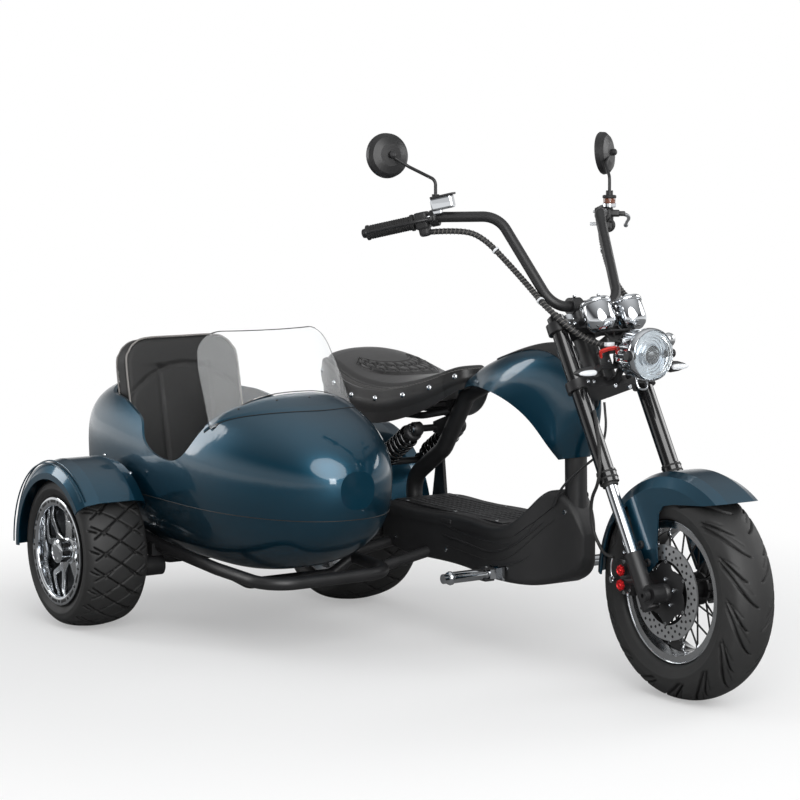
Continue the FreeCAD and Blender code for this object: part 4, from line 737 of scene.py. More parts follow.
def caliper_detail():
    """The brake caliper's red caps, casting, bolts and hose end, and the mudguard's stay and bolts."""
    cap = [(13.4, 0, 1), (13.4, 3, 1), (12.2, 5.4, 1), (9, 6.4), (8, 5), (4.5, 4.6), (3.5, 6.2), (0, 6.6)]
    caps = [lathe(cap, at(-118, -99.8, height), -ACROSS, 64, 8, 0.16) for height in (290, 256)]
    piece("caliper_caps", merged(caps), "fork", "black_paint", RED_CAP, 30)
    piece("caliper_castings", rounded_box(at(-118, -80, 273), (60, 20, 82), 6), "fork", "black_paint", POWDER)
    bolts = ((-118, 309, 4.2), (-118, 237, 4.2), (-96, 300, 3.6), (-96, 246, 3.6))
    screws("caliper_bolts", [(at(x, -90.5, z), -ACROSS, radius) for x, z, radius in bolts], "fork", "steel",
           ZINC)
    pipe = smooth_line([at(-147, -103, 270), at(-150, -104, 284), at(-150, -103, 300), at(-148, -101, 314)])
    banjo = [lathe([(7, 0), (7, 7), (4.5, 8), (4.5, 13), (0, 13)], at(-146, -97, 268), -ACROSS, 24),
             lathe([(6, 0), (6, 9), (0, 9)], at(-148, -97, 262), -ACROSS, 6), sweep(pipe, 2.6, 10)]
    piece("hose_banjo", merged(banjo), "fork", "chrome", CHROME)
    screws("guard_bolts", [(at(-75, -77.2, 354), -ACROSS, 9.5), (at(-49, -77.2, 316), -ACROSS, 9.5)], "fork",
           "black_paint", POWDER, 0.5)
    stay = sweep([at(-60, -92, 300), at(-24, -92, 246)], 4.2, 14)
    piece("guard_stay", stay, "fork", "chrome", CHROME)
    screws("foot_bolts", [(at(-134, -78, 327), -ACROSS, 5.0), (at(-96, -96, 236), -ACROSS, 5.0)], "fork",
           "steel", CHROME)


# The fork, the lamp and the gauges.

def fork_detail():
    """Caps, dust seals, clamp bolts, the stem's nut and the key switch."""
    caps, seals = [], []
    for side in (-LEG_OUT, LEG_OUT):
        top, foot = fork_at(712, 0, side), fork_at(286, 0, side)
        caps.append(lathe([(18.5, -2), (18.5, 1), (16.5, 3), (12.5, 3), (12.5, 4)], top, UP_FORK, 32))
        caps.append(lathe([(10.5, 3), (10.5, 9), (9.5, 10), (0, 10)], top, UP_FORK, 6))
        seals.append(lathe([(15.2, -9), (18.5, -8), (19.5, -3), (22.8, -1), (22.8, 1), (15.2, 1)], foot,
                           UP_FORK, 40))
        for low in (8, 22):
            ring = [(23.4, low), (24.4, low + 1), (24.4, low + 4), (23.4, low + 5)]
            seals.append(ring_lathe(ring, foot, UP_FORK, 40))
    piece("fork_caps", merged(caps), "fork", "black_paint", ENAMEL, 30)
    piece("fork_seals", merged(seals), "fork", "black_paint", RUBBER)
    bolts = []
    for height in (684, 532):
        for side in (-1, 1):
            bolts.append((fork_at(height, 28.3, side * 86), AHEAD_FORK, 4.6))
            bolts.append((fork_at(height, 24.5, side * 66), AHEAD_FORK, 4.6))
    for side in (-36, 36):
        for ahead in (12, -10):
            bolts.append((BAR + (ACROSS * side + UP_FORK * 20.8 + AHEAD_FORK * ahead) / 1000, UP_FORK, 4.4))
    screws("clamp_bolts", bolts, "fork", "chrome", CHROME)
    nut = [lathe([(24, 0), (24, 4), (20, 7), (20, 14), (17, 16), (0, 16)], fork_at(696, -40, 0), UP_FORK, 40),
           lathe([(13, 15), (13, 22), (11, 24), (0, 24)], fork_at(696, -40, 0), UP_FORK, 6)]
    piece("stem_nut", merged(nut), "fork", "chrome", CHROME, 30)
    lock = lathe([(13, 0), (13, 16), (11.5, 18), (8, 18), (7.5, 16.5), (0, 16.5)], fork_at(694, 8, -66),
                 UP_FORK, 32)
    piece("key_switch", lock, "fork", "chrome", CHROME)


def lamp_detail():
    """The headlamp: ribbed bucket, rim, stepped reflector, projector and fluted glass."""
    back = LAMP - FORWARD * 0.080
    bucket = [(0, 0), (30, 0), (42, 3), (50, 11, 1), (55, 23, 1), (57.5, 38, 1), (58, 66, 1), (58.5, 72),
              (0, 72)]
    obj = piece("lamp_bucket", lathe(bucket, back, FORWARD, 144, 18, 0.09), "fork", "chrome", CHROME, 50)
    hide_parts("headlamp")
    rim = [(56, 70), (60, 71), (62, 74), (62.4, 80), (62, 86), (60.5, 92), (58.5, 94), (56.8, 92), (56, 78)]
    piece("lamp_rim", ring_lathe(rim, back, FORWARD, 96), "fork", "chrome", CHROME, 50)
    dish = [(0, 74), (56, 74), (56, 90), (54, 88), (53, 84), (46, 83), (45, 79.5), (39, 79), (38, 76),
            (31, 76), (30, 74.5), (0, 74.5)]
    piece("lamp_reflector", lathe(dish, back, FORWARD, 96), "fork", "chrome", CHROME)
    collar = [(21, 74), (29, 74), (28, 82), (26, 87), (24, 89), (22, 87)]
    piece("projector_ring", ring_lathe(collar, back, FORWARD, 64), "fork", "chrome", CHROME, 50)
    bulb = [(0, 74), (21.5, 74), (21.5, 84), (20, 89), (16, 93.5), (9, 97), (0, 98)]
    piece("projector_bulb", lathe(bulb, back, FORWARD, 64), "fork", "lamp_glass", DARK_GLASS, 60)
    outside = [(0, 114), (12, 113.4), (13, 114), (24, 112.4), (25, 113), (34, 110), (35, 110.5), (44, 105.5),
               (45, 106), (51, 101), (55.5, 95.5), (56.8, 92)]
    inside = [(55, 92), (53, 94.6), (44, 103.2), (34, 107.8), (24, 110.4), (12, 111.6), (0, 112)]
    glass = lathe(outside + inside, back, FORWARD, 96)
    obj = piece("lamp_lens", glass, "fork", "lamp_glass", LAMP_GLASS, 60)
    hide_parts("headlamp_lens")
    lug = [(0, 50), (13, 50), (13, 62), (10, 64), (10, 70), (0, 70)]
    lugs = [lathe(lug, LAMP, ACROSS * side, 32) for side in (-1, 1)]
    piece("lamp_lugs", merged(lugs), "fork", "black_paint", POWDER)


def lamp_mounting():
    """What holds the lamp and the gauges to the fork, their short wires, and the indicators' lenses."""
    axes = (AHEAD_FORK, ACROSS, UP_FORK)
    profile = [(0, 0), (9, 1), (15, 5), (17, 12), (16, 19), (11, 25), (4, 27.5), (0, 28)]
    piece("lamp_knob", lathe(profile, at(-172, 66, 812), FORWARD, 40), "fork", "chrome", ALLOY, 60)
    wire = smooth_line([at(-176, -16, 727), at(-172, -14, 708), at(-168, -8, 700), at(-168, 8, 700),
                        at(-172, 14, 708), at(-176, 16, 727)])
    piece("lamp_adjuster_loop", sweep(wire, 2.6, 10), "fork", "chrome", CHROME)
    struts = [rounded_box(fork_at(566, 46, side * 30), (34, 6, 74), 2, axes) for side in (-1, 1)]
    struts += [rounded_box(fork_at(600, 52, 0), (46, 74, 6), 2, axes),
               rounded_box(fork_at(616, 58, 0), (40, 64, 22), 5, axes),
               rounded_box(fork_at(629, 84, 0), (26, 118, 5), 2, axes)]
    piece("gauge_carrier", merged(struts), "fork", "black_paint", POWDER)
    bolts = [(at(-228, -36, 705), FORWARD, 5.2), (at(-224, 4, 700), FORWARD, 5.2),
             (fork_at(566, 62, -33.5), -ACROSS, 4.0), (fork_at(590, 46, -33.5), -ACROSS, 4.0)]
    screws("carrier_bolts", bolts, "fork", "chrome", CHROME)
    feeds = (((-246, -64, 776), (-240, -70, 786), (-228, -58, 793), (-214, -40, 797), (-226, -26, 800)),
             ((-250, -60, 770), (-246, -66, 780), (-236, -56, 788), (-222, -38, 792), (-232, -20, 792)))
    wires = [sweep(smooth_line([at(*place) for place in route]), 3.2, 10) for route in feeds]
    piece("lamp_feed_wires", merged(wires), "fork", "black_plastic", RED_WIRE)
    plug = rounded_box(at(-238, -46, 801), (14, 22, 10), 2)
    piece("lamp_feed_plug", plug, "fork", "black_plastic", FROSTED)
    loom = []
    for shift in (-22, -8, 10, 24):
        loom.append(sweep(smooth_line([fork_at(560, 40, shift), fork_at(590, 74, shift * 1.6),
                                       fork_at(612, 70, shift * 0.8), fork_at(630, 90, shift * 2)]), 3.0, 8))
    piece("lamp_loom", merged(loom), "fork", "black_plastic", RUBBER)
    lens = [(0, 0), (4.5, 2), (6.8, 8), (7.2, 20), (6.4, 34), (4, 46), (0, 52)]
    lenses = [lathe(lens, LAMP + Vector((-54.5, side * 112, -40)) / 1000, ACROSS * side, 32)
              for side in (-1, 1)]
    piece("indicator_lenses", merged(lenses), "fork", "lamp_glass", FROSTED, 60)


def gauge_detail():
    """Two round instruments: a chromed cup, a dark dial and a mark for every ten degrees."""
    cup = [(0, 0), (12, 1), (22, 5), (30, 12), (34.5, 20), (36, 29), (36, 64), (35.2, 66.5), (38, 68.5),
           (38.4, 74), (36.6, 77.4), (34, 77.8), (32.4, 74.6), (0, 74.6)]
    mark_end = 30.5
    cups, dials, marks = [], [], []
    for side in (-46, 46):
        low = fork_at(627, 93, side)
        cups.append(lathe(cup, low, UP_FORK, 72))
        dials.append(lathe([(0, 74.2), (32, 74.2), (32, 75.2), (0, 75.6)], low, UP_FORK, 48))
        for tick in range(25):
            swing = math.radians(-210 + tick * 10)
            along = AHEAD_FORK * math.cos(swing) + ACROSS * math.sin(swing)
            start = 25 if tick % 4 == 0 else 28
            place = low + UP_FORK * 0.0757 + along * (start + mark_end) / 2000
            axes = (along, UP_FORK.cross(along), UP_FORK)
            marks.append(rounded_box(place, (mark_end - start, 1.0, 0.4), 0.1, axes, 1))
    obj = piece("gauge_cups", merged(cups), "fork", "chrome", CHROME, 60)
    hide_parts("gauges")
    piece("gauge_dials", merged(dials), "fork", "black_plastic", DARK_GLASS)
    piece("gauge_marks", merged(marks), "fork", "black_plastic", FROSTED)


# The handlebar's controls, set out along the right grip and mirrored for the left.

def mirrored(shape):
    """A shape's mirror image across the bike's middle plane."""
    points, faces = shape
    points = np.array(points)
    points[:, 1] = 2 * MIDDLE - points[:, 1]
    return points, [loop[::-1] for loop in faces]


def pair(shape):
    """A shape with its mirror image."""
    return merged([shape, mirrored(shape)])


def grip_axes():
    """The right bar end, the way the grip runs, the way its lever lies ahead of it, and the way up."""
    end = BAR + Vector((-389, -370, 168)) / 1000
    along = Vector((132, 119, 40)).normalized()
    ahead = Vector((along.y, -along.x, 0)).normalized()
    return end, along, ahead, ahead.cross(along)


def grip_detail():
    """Ribbed grips with their end weights."""
    end, along, _, _ = grip_axes()
    first_rib, rib_pitch, rib_count = 8, 6, 17
    ribs = [(0, -3), (15, -3), (18.6, -1), (18.6, 4), (16.4, 6)]
    for ring in range(rib_count):
        low = first_rib + ring * rib_pitch
        ribs += [(15.9, low), (17.3, low + 1.2), (17.3, low + 4), (15.9, low + 5.2)]
    ribs += [(20, 112), (20.4, 118), (18, 121), (0, 121)]
    obj = piece("ribbed_grips", pair(lathe(ribs, end, along, 40)), "fork", "grip_rubber", RUBBER, 30)
    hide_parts("grips")
    tip = [(0, -14), (7, -14), (10.5, -12), (11.5, -8), (11.5, -6), (9, -5), (9, -4), (14, -3.6), (14, -1.5),
           (0, -1.5)]
    piece("bar_end_weights", pair(lathe(tip, end, along, 36)), "fork", "black_paint", POWDER)


def switch_detail():
    """The switch housings inside the grips, with their buttons."""
    end, *axes = grip_axes()
    along, ahead, upright = axes
    spot = end + along * 0.142
    housing = merged([
        rounded_box(spot - along * 0.001, (33, 44, 42), 8, axes, 4),
        rounded_box(spot - upright * 0.024 + ahead * 0.002, (27, 32, 30), 11, axes, 5),
        rounded_box(spot - ahead * 0.018 + upright * 0.006, (22, 14, 24), 3, axes, 3),
    ])
    obj = piece("switch_housings", pair(housing), "fork", "black_plastic", MOULDED, 40)
    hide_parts("switch_blocks")
    buttons = merged([rounded_box(spot - ahead * 0.027 + upright * 0.010, (9, 5, 6), 1.2, axes),
                      rounded_box(spot - ahead * 0.0265 - upright * 0.022, (8, 20, 8), 2, axes)])
    piece("switch_buttons", pair(buttons), "fork", "black_plastic", FROSTED)
    stop = rounded_box(spot - ahead * 0.0262 + upright * 0.0005, (12, 5, 6), 1.5, axes)
    piece("stop_button", stop, "fork", "black_plastic", RED_CAP)


def lever_detail():
    """The brake levers, their clamps and reservoirs: square and chromed on the right, round on the left."""
    end, *axes = grip_axes()
    along, ahead, upright = axes
    hold = end + along * 0.142 + along * 0.030
    joint = hold + ahead * 0.046 - along * 0.004
    band = [(13.2, -10), (19, -10), (20.5, -8.5), (20.5, 8.5), (19, 10), (13.2, 10)]
    clamp = merged([
        ring_lathe(band, hold, along, 36),
        rounded_box(hold + ahead * 0.027, (20, 26, 16), 4, axes),
        rounded_box(joint, (17, 16, 11), 3, axes),
    ])
    obj = piece("lever_clamps", pair(clamp), "fork", "black_paint", POWDER)
    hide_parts("brake_levers")
    cup_spot = hold + along * 0.005 + ahead * 0.014
    box_spot = cup_spot + along * 0.018
    square = merged([rounded_box(box_spot + HIGH * 0.032, (54, 36, 32), 6, axes, 4),
                     rounded_box(cup_spot + HIGH * 0.014 + along * 0.006, (22, 20, 14), 3, axes)])
    lid = rounded_box(box_spot + HIGH * 0.0495, (57, 39, 5), 2, axes)
    piece("right_reservoir", square, "fork", "chrome", CHROME)
    cup = [(0, 14), (15, 14), (17, 16), (17, 24), (15, 25), (0, 25)]
    window = [(0, 24), (15, 24), (15.4, 26), (15.4, 37), (15, 38), (0, 38)]
    cap = [(0, 37), (16.5, 37), (17.5, 38.5), (17.5, 43), (15, 45), (0, 45)]
    cup, window, cap = (mirrored(lathe(profile, cup_spot, HIGH, 36)) for profile in (cup, window, cap))
    piece("left_reservoir", cup, "fork", "chrome", CHROME)
    piece("left_reservoir_window", window, "fork", "black_plastic", FLUID)
    piece("reservoir_lids", merged([lid, cap]), "fork", "black_plastic", MOULDED)
    line = smooth_line([joint, joint + ahead * 0.012 - along * 0.03, hold + ahead * 0.058 - along * 0.075,
                        hold + ahead * 0.051 - along * 0.12, hold + ahead * 0.046 - along * 0.165])
    taper = np.interp(np.linspace(0, 1, len(line)), [0, 0.25, 0.9, 1], [7.0, 5.6, 4.6, 4.4])
    ball = lathe([(0, -6), (4.5, -5), (6.4, 0), (4.5, 5), (0, 6.4)], line[-1], -along, 20)
    lever = merged([sweep(line, taper, 14, 0.75, upright), ball])
    piece("right_lever", lever, "fork", "black_paint", POWDER, 60)
    piece("left_lever", mirrored(lever), "fork", "alloy", CHROME, 60)
    screws("lever_pivots", [(joint + upright * 0.0052, upright, 4.0)], "fork", "chrome", CHROME)


def mirror_detail():
    """The mirrors' glasses and the sockets that their stalks end in."""
    glasses, boots = [], []
    for side, degrees in ((-1, 6), (1, 33)):
        swing = math.radians(degrees)
        facing = Vector((-math.cos(swing), -side * math.sin(swing), -0.1)).normalized()
        face = BAR + Vector((-370, side * 330, 354)) / 1000
        glasses.append(lathe([(0, -0.5), (51.2, -0.5), (51.2, 0.5), (48, 1.3), (30, 2.0), (0, 2.4)], face,
                             facing, 72))
        boots.append(lathe([(0, 0), (7, 0), (9, 6), (8, 13), (4.4, 16), (0, 16)], face - facing * 0.026,
                           -facing, 32))
    piece("mirror_glasses", merged(glasses), "fork", "black_plastic", SILVERED, 60)
    piece("mirror_sockets", merged(boots), "fork", "black_plastic", MOULDED)


def nurbs_line(route):
    """Points read from a route's NURBS spline, which has the route's points as its control points."""
    data = bpy.data.curves.new("route_line", "CURVE")
    data.dimensions, data.resolution_u = "3D", 24
    spline = data.splines.new("NURBS")
    spline.points.add(len(route) - 1)
    for point, place in zip(spline.points, route):
        point.co = (*at(*place), 1)
    spline.order_u = 3
    spline.use_endpoint_u = True
    obj = linked("route_line", data)
    mesh = evaluated(obj)
    line = np.array([tuple(vert.co) for vert in mesh.vertices])
    bpy.data.objects.remove(obj)
    bpy.data.curves.remove(data)
    bpy.data.meshes.remove(mesh)
    return line


def evenly(line, step):
    """The same line with its points about so many millimetres apart, and how far along it each one lies."""
    run = np.concatenate([[0], np.cumsum(np.linalg.norm(np.diff(line, axis=0), axis=1))]) * 1000
    even = np.linspace(0, run[-1], int(run[-1] / step) + 1)
    return np.stack([np.interp(even, run, line[:, axis]) for axis in range(3)], -1), even


def loom_wrap():
    """The sleeved control cables, the spiral wound round them, and the ties that hold them to the bar."""
    right = [(-658.5, -264, 1052), (-604, -212, 1058), (-570, -172, 1040), (-506, -138, 974),
             (-420, -126, 910)]
    left = [(-658.5, 264, 1052), (-600, 208, 1054), (-560, 180, 1024), (-494, 148, 962), (-424, 130, 912)]
    down = [(-387, 130, 890), (-318, 108, 840), (-307, 50, 802), (-252, 22, 790)]
    sleeve_radius, coil_radius, coil_pitch, coil_wire = 6.8, 7.0, 10, 1.3
    tie = [(8.0, -2.6), (9.2, -2.6), (9.2, 2.6), (8.0, 2.6)]
    sleeves, coils, ties = [], [], []
    for run, side in ((right, -1), (left, 1)):
        route = run + [(x, side * out, z) for x, out, z in down]
        line, distance = evenly(nurbs_line(route), 1.4)
        tangent = np.gradient(line, axis=0)
        tangent /= np.linalg.norm(tangent, axis=1)[:, None]
        sleeves.append(sweep(line[::4], sleeve_radius, 20))
        turn = 2 * math.pi * distance[:, None] / coil_pitch
        aside = np.cross(tangent, HIGH)
        aside /= np.linalg.norm(aside, axis=1)[:, None]
        over = np.cross(aside, tangent)
        helix = line + (aside * np.cos(turn) + over * np.sin(turn)) * coil_radius / 1000
        coils.append(sweep(helix[4:-4], coil_wire, 6))
        for share in (0.30, 0.62):
            spot = int(len(line) * share)
            ties.append(ring_lathe(tie, line[spot], tangent[spot], 24))
    obj = piece("harness_sleeves", merged(sleeves), "fork", "black_plastic", MOULDED, 80)
    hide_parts("control_harness")
    # The spiral is light grey: painted glints along the wrap.
    piece("harness_spiral", merged(coils), "fork", "black_plastic", GREY_THREAD_AND_GLINT, 80)
    piece("harness_ties", merged(ties), "fork", "black_plastic", FROSTED)


def stitch_tree(material):
    """Stitches along a line: short rounded threads that follow it, a gap apart."""
    tree, given = opened_tree("stitches_" + material.name,
                              {"Pitch": 0.006, "Stitch length": 0.0042, "Thread radius": 0.0009})
    line = add(tree, "GeometryNodeMeshToCurve", {"Mesh": given["Geometry"]})
    spots = add(tree, "GeometryNodeResampleCurve", {"Curve": line.outputs[0], "Length": given["Pitch"]},
                mode="LENGTH")
    tangent = add(tree, "GeometryNodeInputTangent")
    turn = add(tree, "FunctionNodeAlignRotationToVector", {"Vector": tangent.outputs[0]}, axis="Z")
    thread = add(tree, "GeometryNodeMeshIcoSphere", {"Radius": 1.0, "Subdivisions": 2})
    half = add(tree, "ShaderNodeMath", {0: given["Stitch length"], 1: 0.5}, operation="MULTIPLY")
    size = add(tree, "ShaderNodeCombineXYZ", {"X": given["Thread radius"], "Y": given["Thread radius"],
                                              "Z": half.outputs[0]})
    spread = add(tree, "GeometryNodeInstanceOnPoints", {
        "Points": spots.outputs[0], "Instance": thread.outputs["Mesh"], "Rotation": turn.outputs[0],
        "Scale": size.outputs[0]})
    return closed_tree(tree, spread.outputs[0], material)


def edge_bead_tree(material):
    """A round bead along every edge of a wire mesh."""
    tree, given = opened_tree("edge_bead_" + material.name, {"Bead radius": 0.001})
    line = add(tree, "GeometryNodeMeshToCurve", {"Mesh": given["Geometry"]})
    circle = add(tree, "GeometryNodeCurvePrimitiveCircle", {"Resolution": 8, "Radius": given["Bead radius"]})
    bead = add(tree, "GeometryNodeCurveToMesh", {"Curve": line.outputs[0],
                                                 "Profile Curve": circle.outputs["Curve"], "Fill Caps": True})
    return closed_tree(tree, bead.outputs[0], material)


def loop_edges(count, start=0):
    """The edges that join so many points into a closed loop, from the start's number on."""
    return [(start + index, start + (index + 1) % count) for index in range(count)]


def paint_groove_shade(obj, points, values):
    """Stores the painted shade of each of these places in the piece's groove attribute, which its leather
    reads.
    """
    known = {tuple(np.round(place, 5)): value for place, value in zip(points, values)}
    found = [known.get(tuple(np.round(np.array(vert.co), 5)), 0.0) for vert in obj.data.vertices]
    obj.data.attributes.new("groove", "FLOAT", "POINT").data.foreach_set("value", found)


# The saddle: a domed pad with a quilted panel on a stiff leather skirt.

# Stations along it: how far back, the crown's height, half the width, the skirt's lower edge.
SADDLE = np.array([
    (-1450, 676, 46, 640), (-1428, 694, 86, 612), (-1384, 702, 124, 580), (-1300, 692, 152, 548),
    (-1180, 662, 162, 528), (-1060, 648, 141, 538), (-950, 666, 100, 574), (-870, 695, 62, 622),
    (-838, 703, 38, 652),
])
# The spine that its outline is drawn in to, and the share of each row that lies on top, before the skirt.
SPINE_REAR, SPINE_FRONT = -1340, -960
TOP_SHARE = 0.66


def saddle_outline(count):
    """Evenly spaced points round the saddle's plan, from the rear along its left side and back."""
    left = [(x, half) for x, _, half, _ in SADDLE]
    right = [(x, -half) for x, half in left[::-1]]
    corners = [(SADDLE[0][0] - 6, 0)] + left + [(SADDLE[-1][0] + 8, 0)] + right
    line = smooth_line([(x / 1000, y / 1000, 0) for x, y in corners], 3, True) * 1000
    line = np.vstack([line, line[:1]])
    length = np.concatenate([[0], np.cumsum(np.linalg.norm(np.diff(line, axis=0), axis=1))])
    even = np.linspace(0, length[-1], count, endpoint=False)
    return np.interp(even, length, line[:, 0]), np.interp(even, length, line[:, 1])


def smooth_saddle(x, column):
    """A station value with its corners eased."""
    return sum(np.interp(x + shift, SADDLE[:, 0], SADDLE[:, column]) for shift in (-40, -20, 0, 20, 40)) / 5


def quilt_spot(swing, share):
    """A place on the quilted crescent: -1 to 1 round it, and 0 to 1 from its inner edge to its outer one."""
    inner = math.radians(82) * swing
    outer = math.radians(99) * swing
    near_x, near_y = -1292 + 76 * np.cos(inner), 76 * np.sin(inner)
    far_x, far_y = -1226 + 164 * np.cos(outer), 105 * np.sin(outer)
    return near_x + (far_x - near_x) * share, near_y + (far_y - near_y) * share


def quilt_puffs(swing, share):
    """How high the padded scales stand, in millimetres, and the painted shade in their seams."""
    row = np.minimum(np.floor(share * 3), 2)
    along = swing * 5.5 + 0.5 * (row % 2)
    column = along - np.floor(along) - 0.5
    bow = share * 3 - row + 0.35 * (2 * column) ** 2 - 0.18
    to_side = (0.5 - np.abs(column)) * 31
    to_row = np.minimum(np.abs(bow), np.abs(1 - bow)) * 24
    rim = np.minimum(np.minimum(share, 1 - share) * 72, (1 - np.abs(swing)) * 160)
    seam = np.minimum(np.minimum(to_side, to_row), rim - 6.5) - 1.0
    puff = 6.4 * np.sqrt(np.clip(seam / 6, 0, 1))
    welt = 3.4 * np.exp(-((rim - 2.8) / 1.5) ** 2)
    # Painted shade down in the seams between the scales.
    dark = np.exp(-(np.maximum(seam, 0) / 1.8) ** 2) * (rim > 4.4)
    return np.maximum(puff, welt), np.clip(dark, 0, 1)


def saddle_quilt(leather):
    """The padded crescent sewn on the saddle: three rows of scales that lie on its skin."""
    skin = BVHTree.FromPolygons([tuple(vert.co) for vert in leather.data.vertices],
                                [tuple(face.vertices) for face in leather.data.polygons])
    columns, rows = 330, 84
    swing, share = np.meshgrid(np.linspace(-1, 1, columns), np.linspace(0, 1, rows), indexing="ij")
    x, y = quilt_spot(swing, share)
    puff, dark = quilt_puffs(swing, share)
    top, under = [], []
    for place_x, place_y, lift in zip(x.ravel(), y.ravel(), puff.ravel()):
        hit, way = skin.ray_cast(at(place_x, place_y, 900), -HIGH)[:2]
        top.append(hit + way * (0.3 + lift) / 1000)
        under.append(hit - way * 0.003)
    faces = grid_faces(columns, rows, False)
    count = columns * rows
    # The crescent's rim, once round, so that walls can join its top to its underside.
    border = [column * rows for column in range(columns)]
    border += [(columns - 1) * rows + row for row in range(1, rows)]
    border += [column * rows + rows - 1 for column in range(columns - 2, -1, -1)]
    border += [row for row in range(rows - 2, 0, -1)]
    walls = [[a, b, b + count, a + count] for a, b in zip(border, border[1:] + border[:1])]
    faces = faces + [[corner + count for corner in face[::-1]] for face in faces] + walls
    points = np.array([tuple(point) for point in top + under])
    obj = piece("saddle_quilting", (points, faces), "chassis", "leather", LEATHER, 80)
    paint_groove_shade(obj, points, np.tile(dark.ravel(), 2))


def saddle_surface(out_x, out_y, rows):
    """The saddle's skin as rows of points, from the middle out over the edge and down the skirt, and how dark
    each point is painted: shade in the seams, and a darker front end.
    """
    spine = np.clip(out_x, SPINE_REAR, SPINE_FRONT)
    half = smooth_saddle(out_x, 2)
    low = smooth_saddle(out_x, 3)
    grid, dark = [], []
    for share in rows:
        reach = min(share / TOP_SHARE, 1.0)
        over = max(0.0, (share - TOP_SHARE) / (1 - TOP_SHARE))
        x = spine + (out_x - spine) * reach
        y = out_y * reach
        crown = smooth_saddle(x, 1)
        edge = crown - 0.20 * half
        if over == 0:
            z = crown - 0.20 * half * reach ** 2.2
            seam = math.exp(-((reach - 0.90) * 160 / 3.0) ** 2)
        else:
            z = edge + (low - edge) * (0.16 * soft_step(0, 0.16, over) + 0.84 * over)
            seam = 0.0
        swell = 1 + 0.035 * math.sin(math.pi * min(over * 1.6, 1.0)) - 0.05 * max(0.0, over - 0.5)
        x, y = spine + (x - spine) * swell, y * swell
        fall = 1 - (1 - over) ** 1.6
        roll = math.exp(-((over - 0.06) / 0.03) ** 2)
        pad = 6.5 * (1 - soft_step(0.80, 0.895, np.float64(reach)))
        z = z + pad - 4.6 * seam + 1.4 * roll * fall
        nose = np.exp(-((x + 884) / 2.2) ** 2)
        z = z - 1.6 * nose
        grid.append(np.stack([x, y, z], -1))
        # Painted shade in the sunken edge seam and the nose crease; beyond the crease the front end is made
        # half dark.
        dark.append(np.clip(seam + nose + 0.5 * soft_step(-886, -880, x), 0, 0.95) * np.ones(len(out_x)))
    return np.array(grid), np.array(dark)


def saddle_studs(grid, rows):
    """Domed studs along the skirt, seated where its skin passes nearest to each place in the side view."""
    places = ((-1370, 650), (-1267, 637), (-1174, 603), (-1084, 603), (-998, 617), (-923, 640), (-857, 671))
    dome = [(0, -1), (8.0, -1), (8.0, 0.8), (6.6, 2.8), (4, 4.4), (0, 5.0)]
    skirt_start, skirt_end, count = int(np.argmax(rows > 0.70)), len(rows) - 3, grid.shape[1]
    studs = []
    for side in (-1, 1):
        for spot_x, spot_z in places:
            off = np.hypot(grid[:, :, 0] - spot_x, grid[:, :, 2] - spot_z) + 1e4 * (grid[:, :, 1] * side < 0)
            off[:skirt_start] = 1e6
            row, index = np.unravel_index(int(np.argmin(off[:skirt_end])), off[:skirt_end].shape)
            slope = Vector(grid[row - 2, index] - grid[row + 2, index])
            round_way = Vector(grid[row, (index + 2) % count] - grid[row, (index - 2) % count])
            facing = slope.cross(round_way).normalized()
            if facing.y * side < 0:
                facing = -facing
            studs.append(lathe(dome, at(*grid[row, index]), facing, 24))
    piece("saddle_studs", merged(studs), "chassis", "chrome", CHROME, 60)


def saddle_detail():
    """The saddle's leather, closed below, with its quilting, studs, two rows of stitches and the pan."""
    count = 420
    out_x, out_y = saddle_outline(count)
    rows = np.concatenate([np.linspace(0, TOP_SHARE, 110), np.linspace(0.668, 1.0, 46)])
    grid, dark = saddle_surface(out_x, out_y, rows)
    hem = grid[-1]
    middle = np.stack([np.clip(out_x, SPINE_REAR, SPINE_FRONT), np.zeros(count), hem[:, 2]], -1)
    under = [hem + (middle - hem) * share + np.array((0, 0, rise))
             for share, rise in ((0.03, -1.5), (0.07, 3), (0.12, 26))]
    floor = middle.copy()
    lowest = float(np.min(hem[:, 2]))
    floor[:, 2] = np.interp(floor[:, 0], [SPINE_REAR, SPINE_FRONT], [lowest + 62, lowest + 66])
    under.append(floor)
    points = np.concatenate([grid, np.array(under)])
    dark = np.concatenate([dark, np.zeros((len(under), count))])
    world = points / 1000 + np.array(at(0, 0, 0))
    skin = (world.reshape(-1, 3), grid_faces(len(points), count))
    obj = piece("saddle_leather", skin, "chassis", "leather", LEATHER, 70)
    paint_groove_shade(obj, world.reshape(-1, 3), dark.ravel())
    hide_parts("saddle")
    saddle_quilt(obj)
    saddle_studs(grid, rows)
    seams = [world[int(np.argmin(np.abs(rows - TOP_SHARE * reach)))] + np.array((0, 0, 0.0006))
             for reach in (0.945, 0.985)]
    wire = wire_mesh("saddle_stitching", np.vstack(seams), loop_edges(count) + loop_edges(count, count))
    sizes = {"Pitch": 0.0095, "Stitch length": 0.0058, "Thread radius": 0.0008}
    grown("saddle_stitching", wire, stitch_tree(GREY_THREAD_AND_GLINT), sizes, "chassis", "leather")
    pan = rounded_box(at(-1130, 0, 588), (330, 96, 12), 4)
    gusset = plate([at(-930, -9, 604), at(-1010, -9, 590), at(-1130, -9, 584), at(-1060, -9, 566),
                    at(-960, -9, 556)], -ACROSS, 4)
    piece("saddle_pan", merged([pan, gusset, mirrored(gusset)]), "chassis", "black_paint", POWDER)


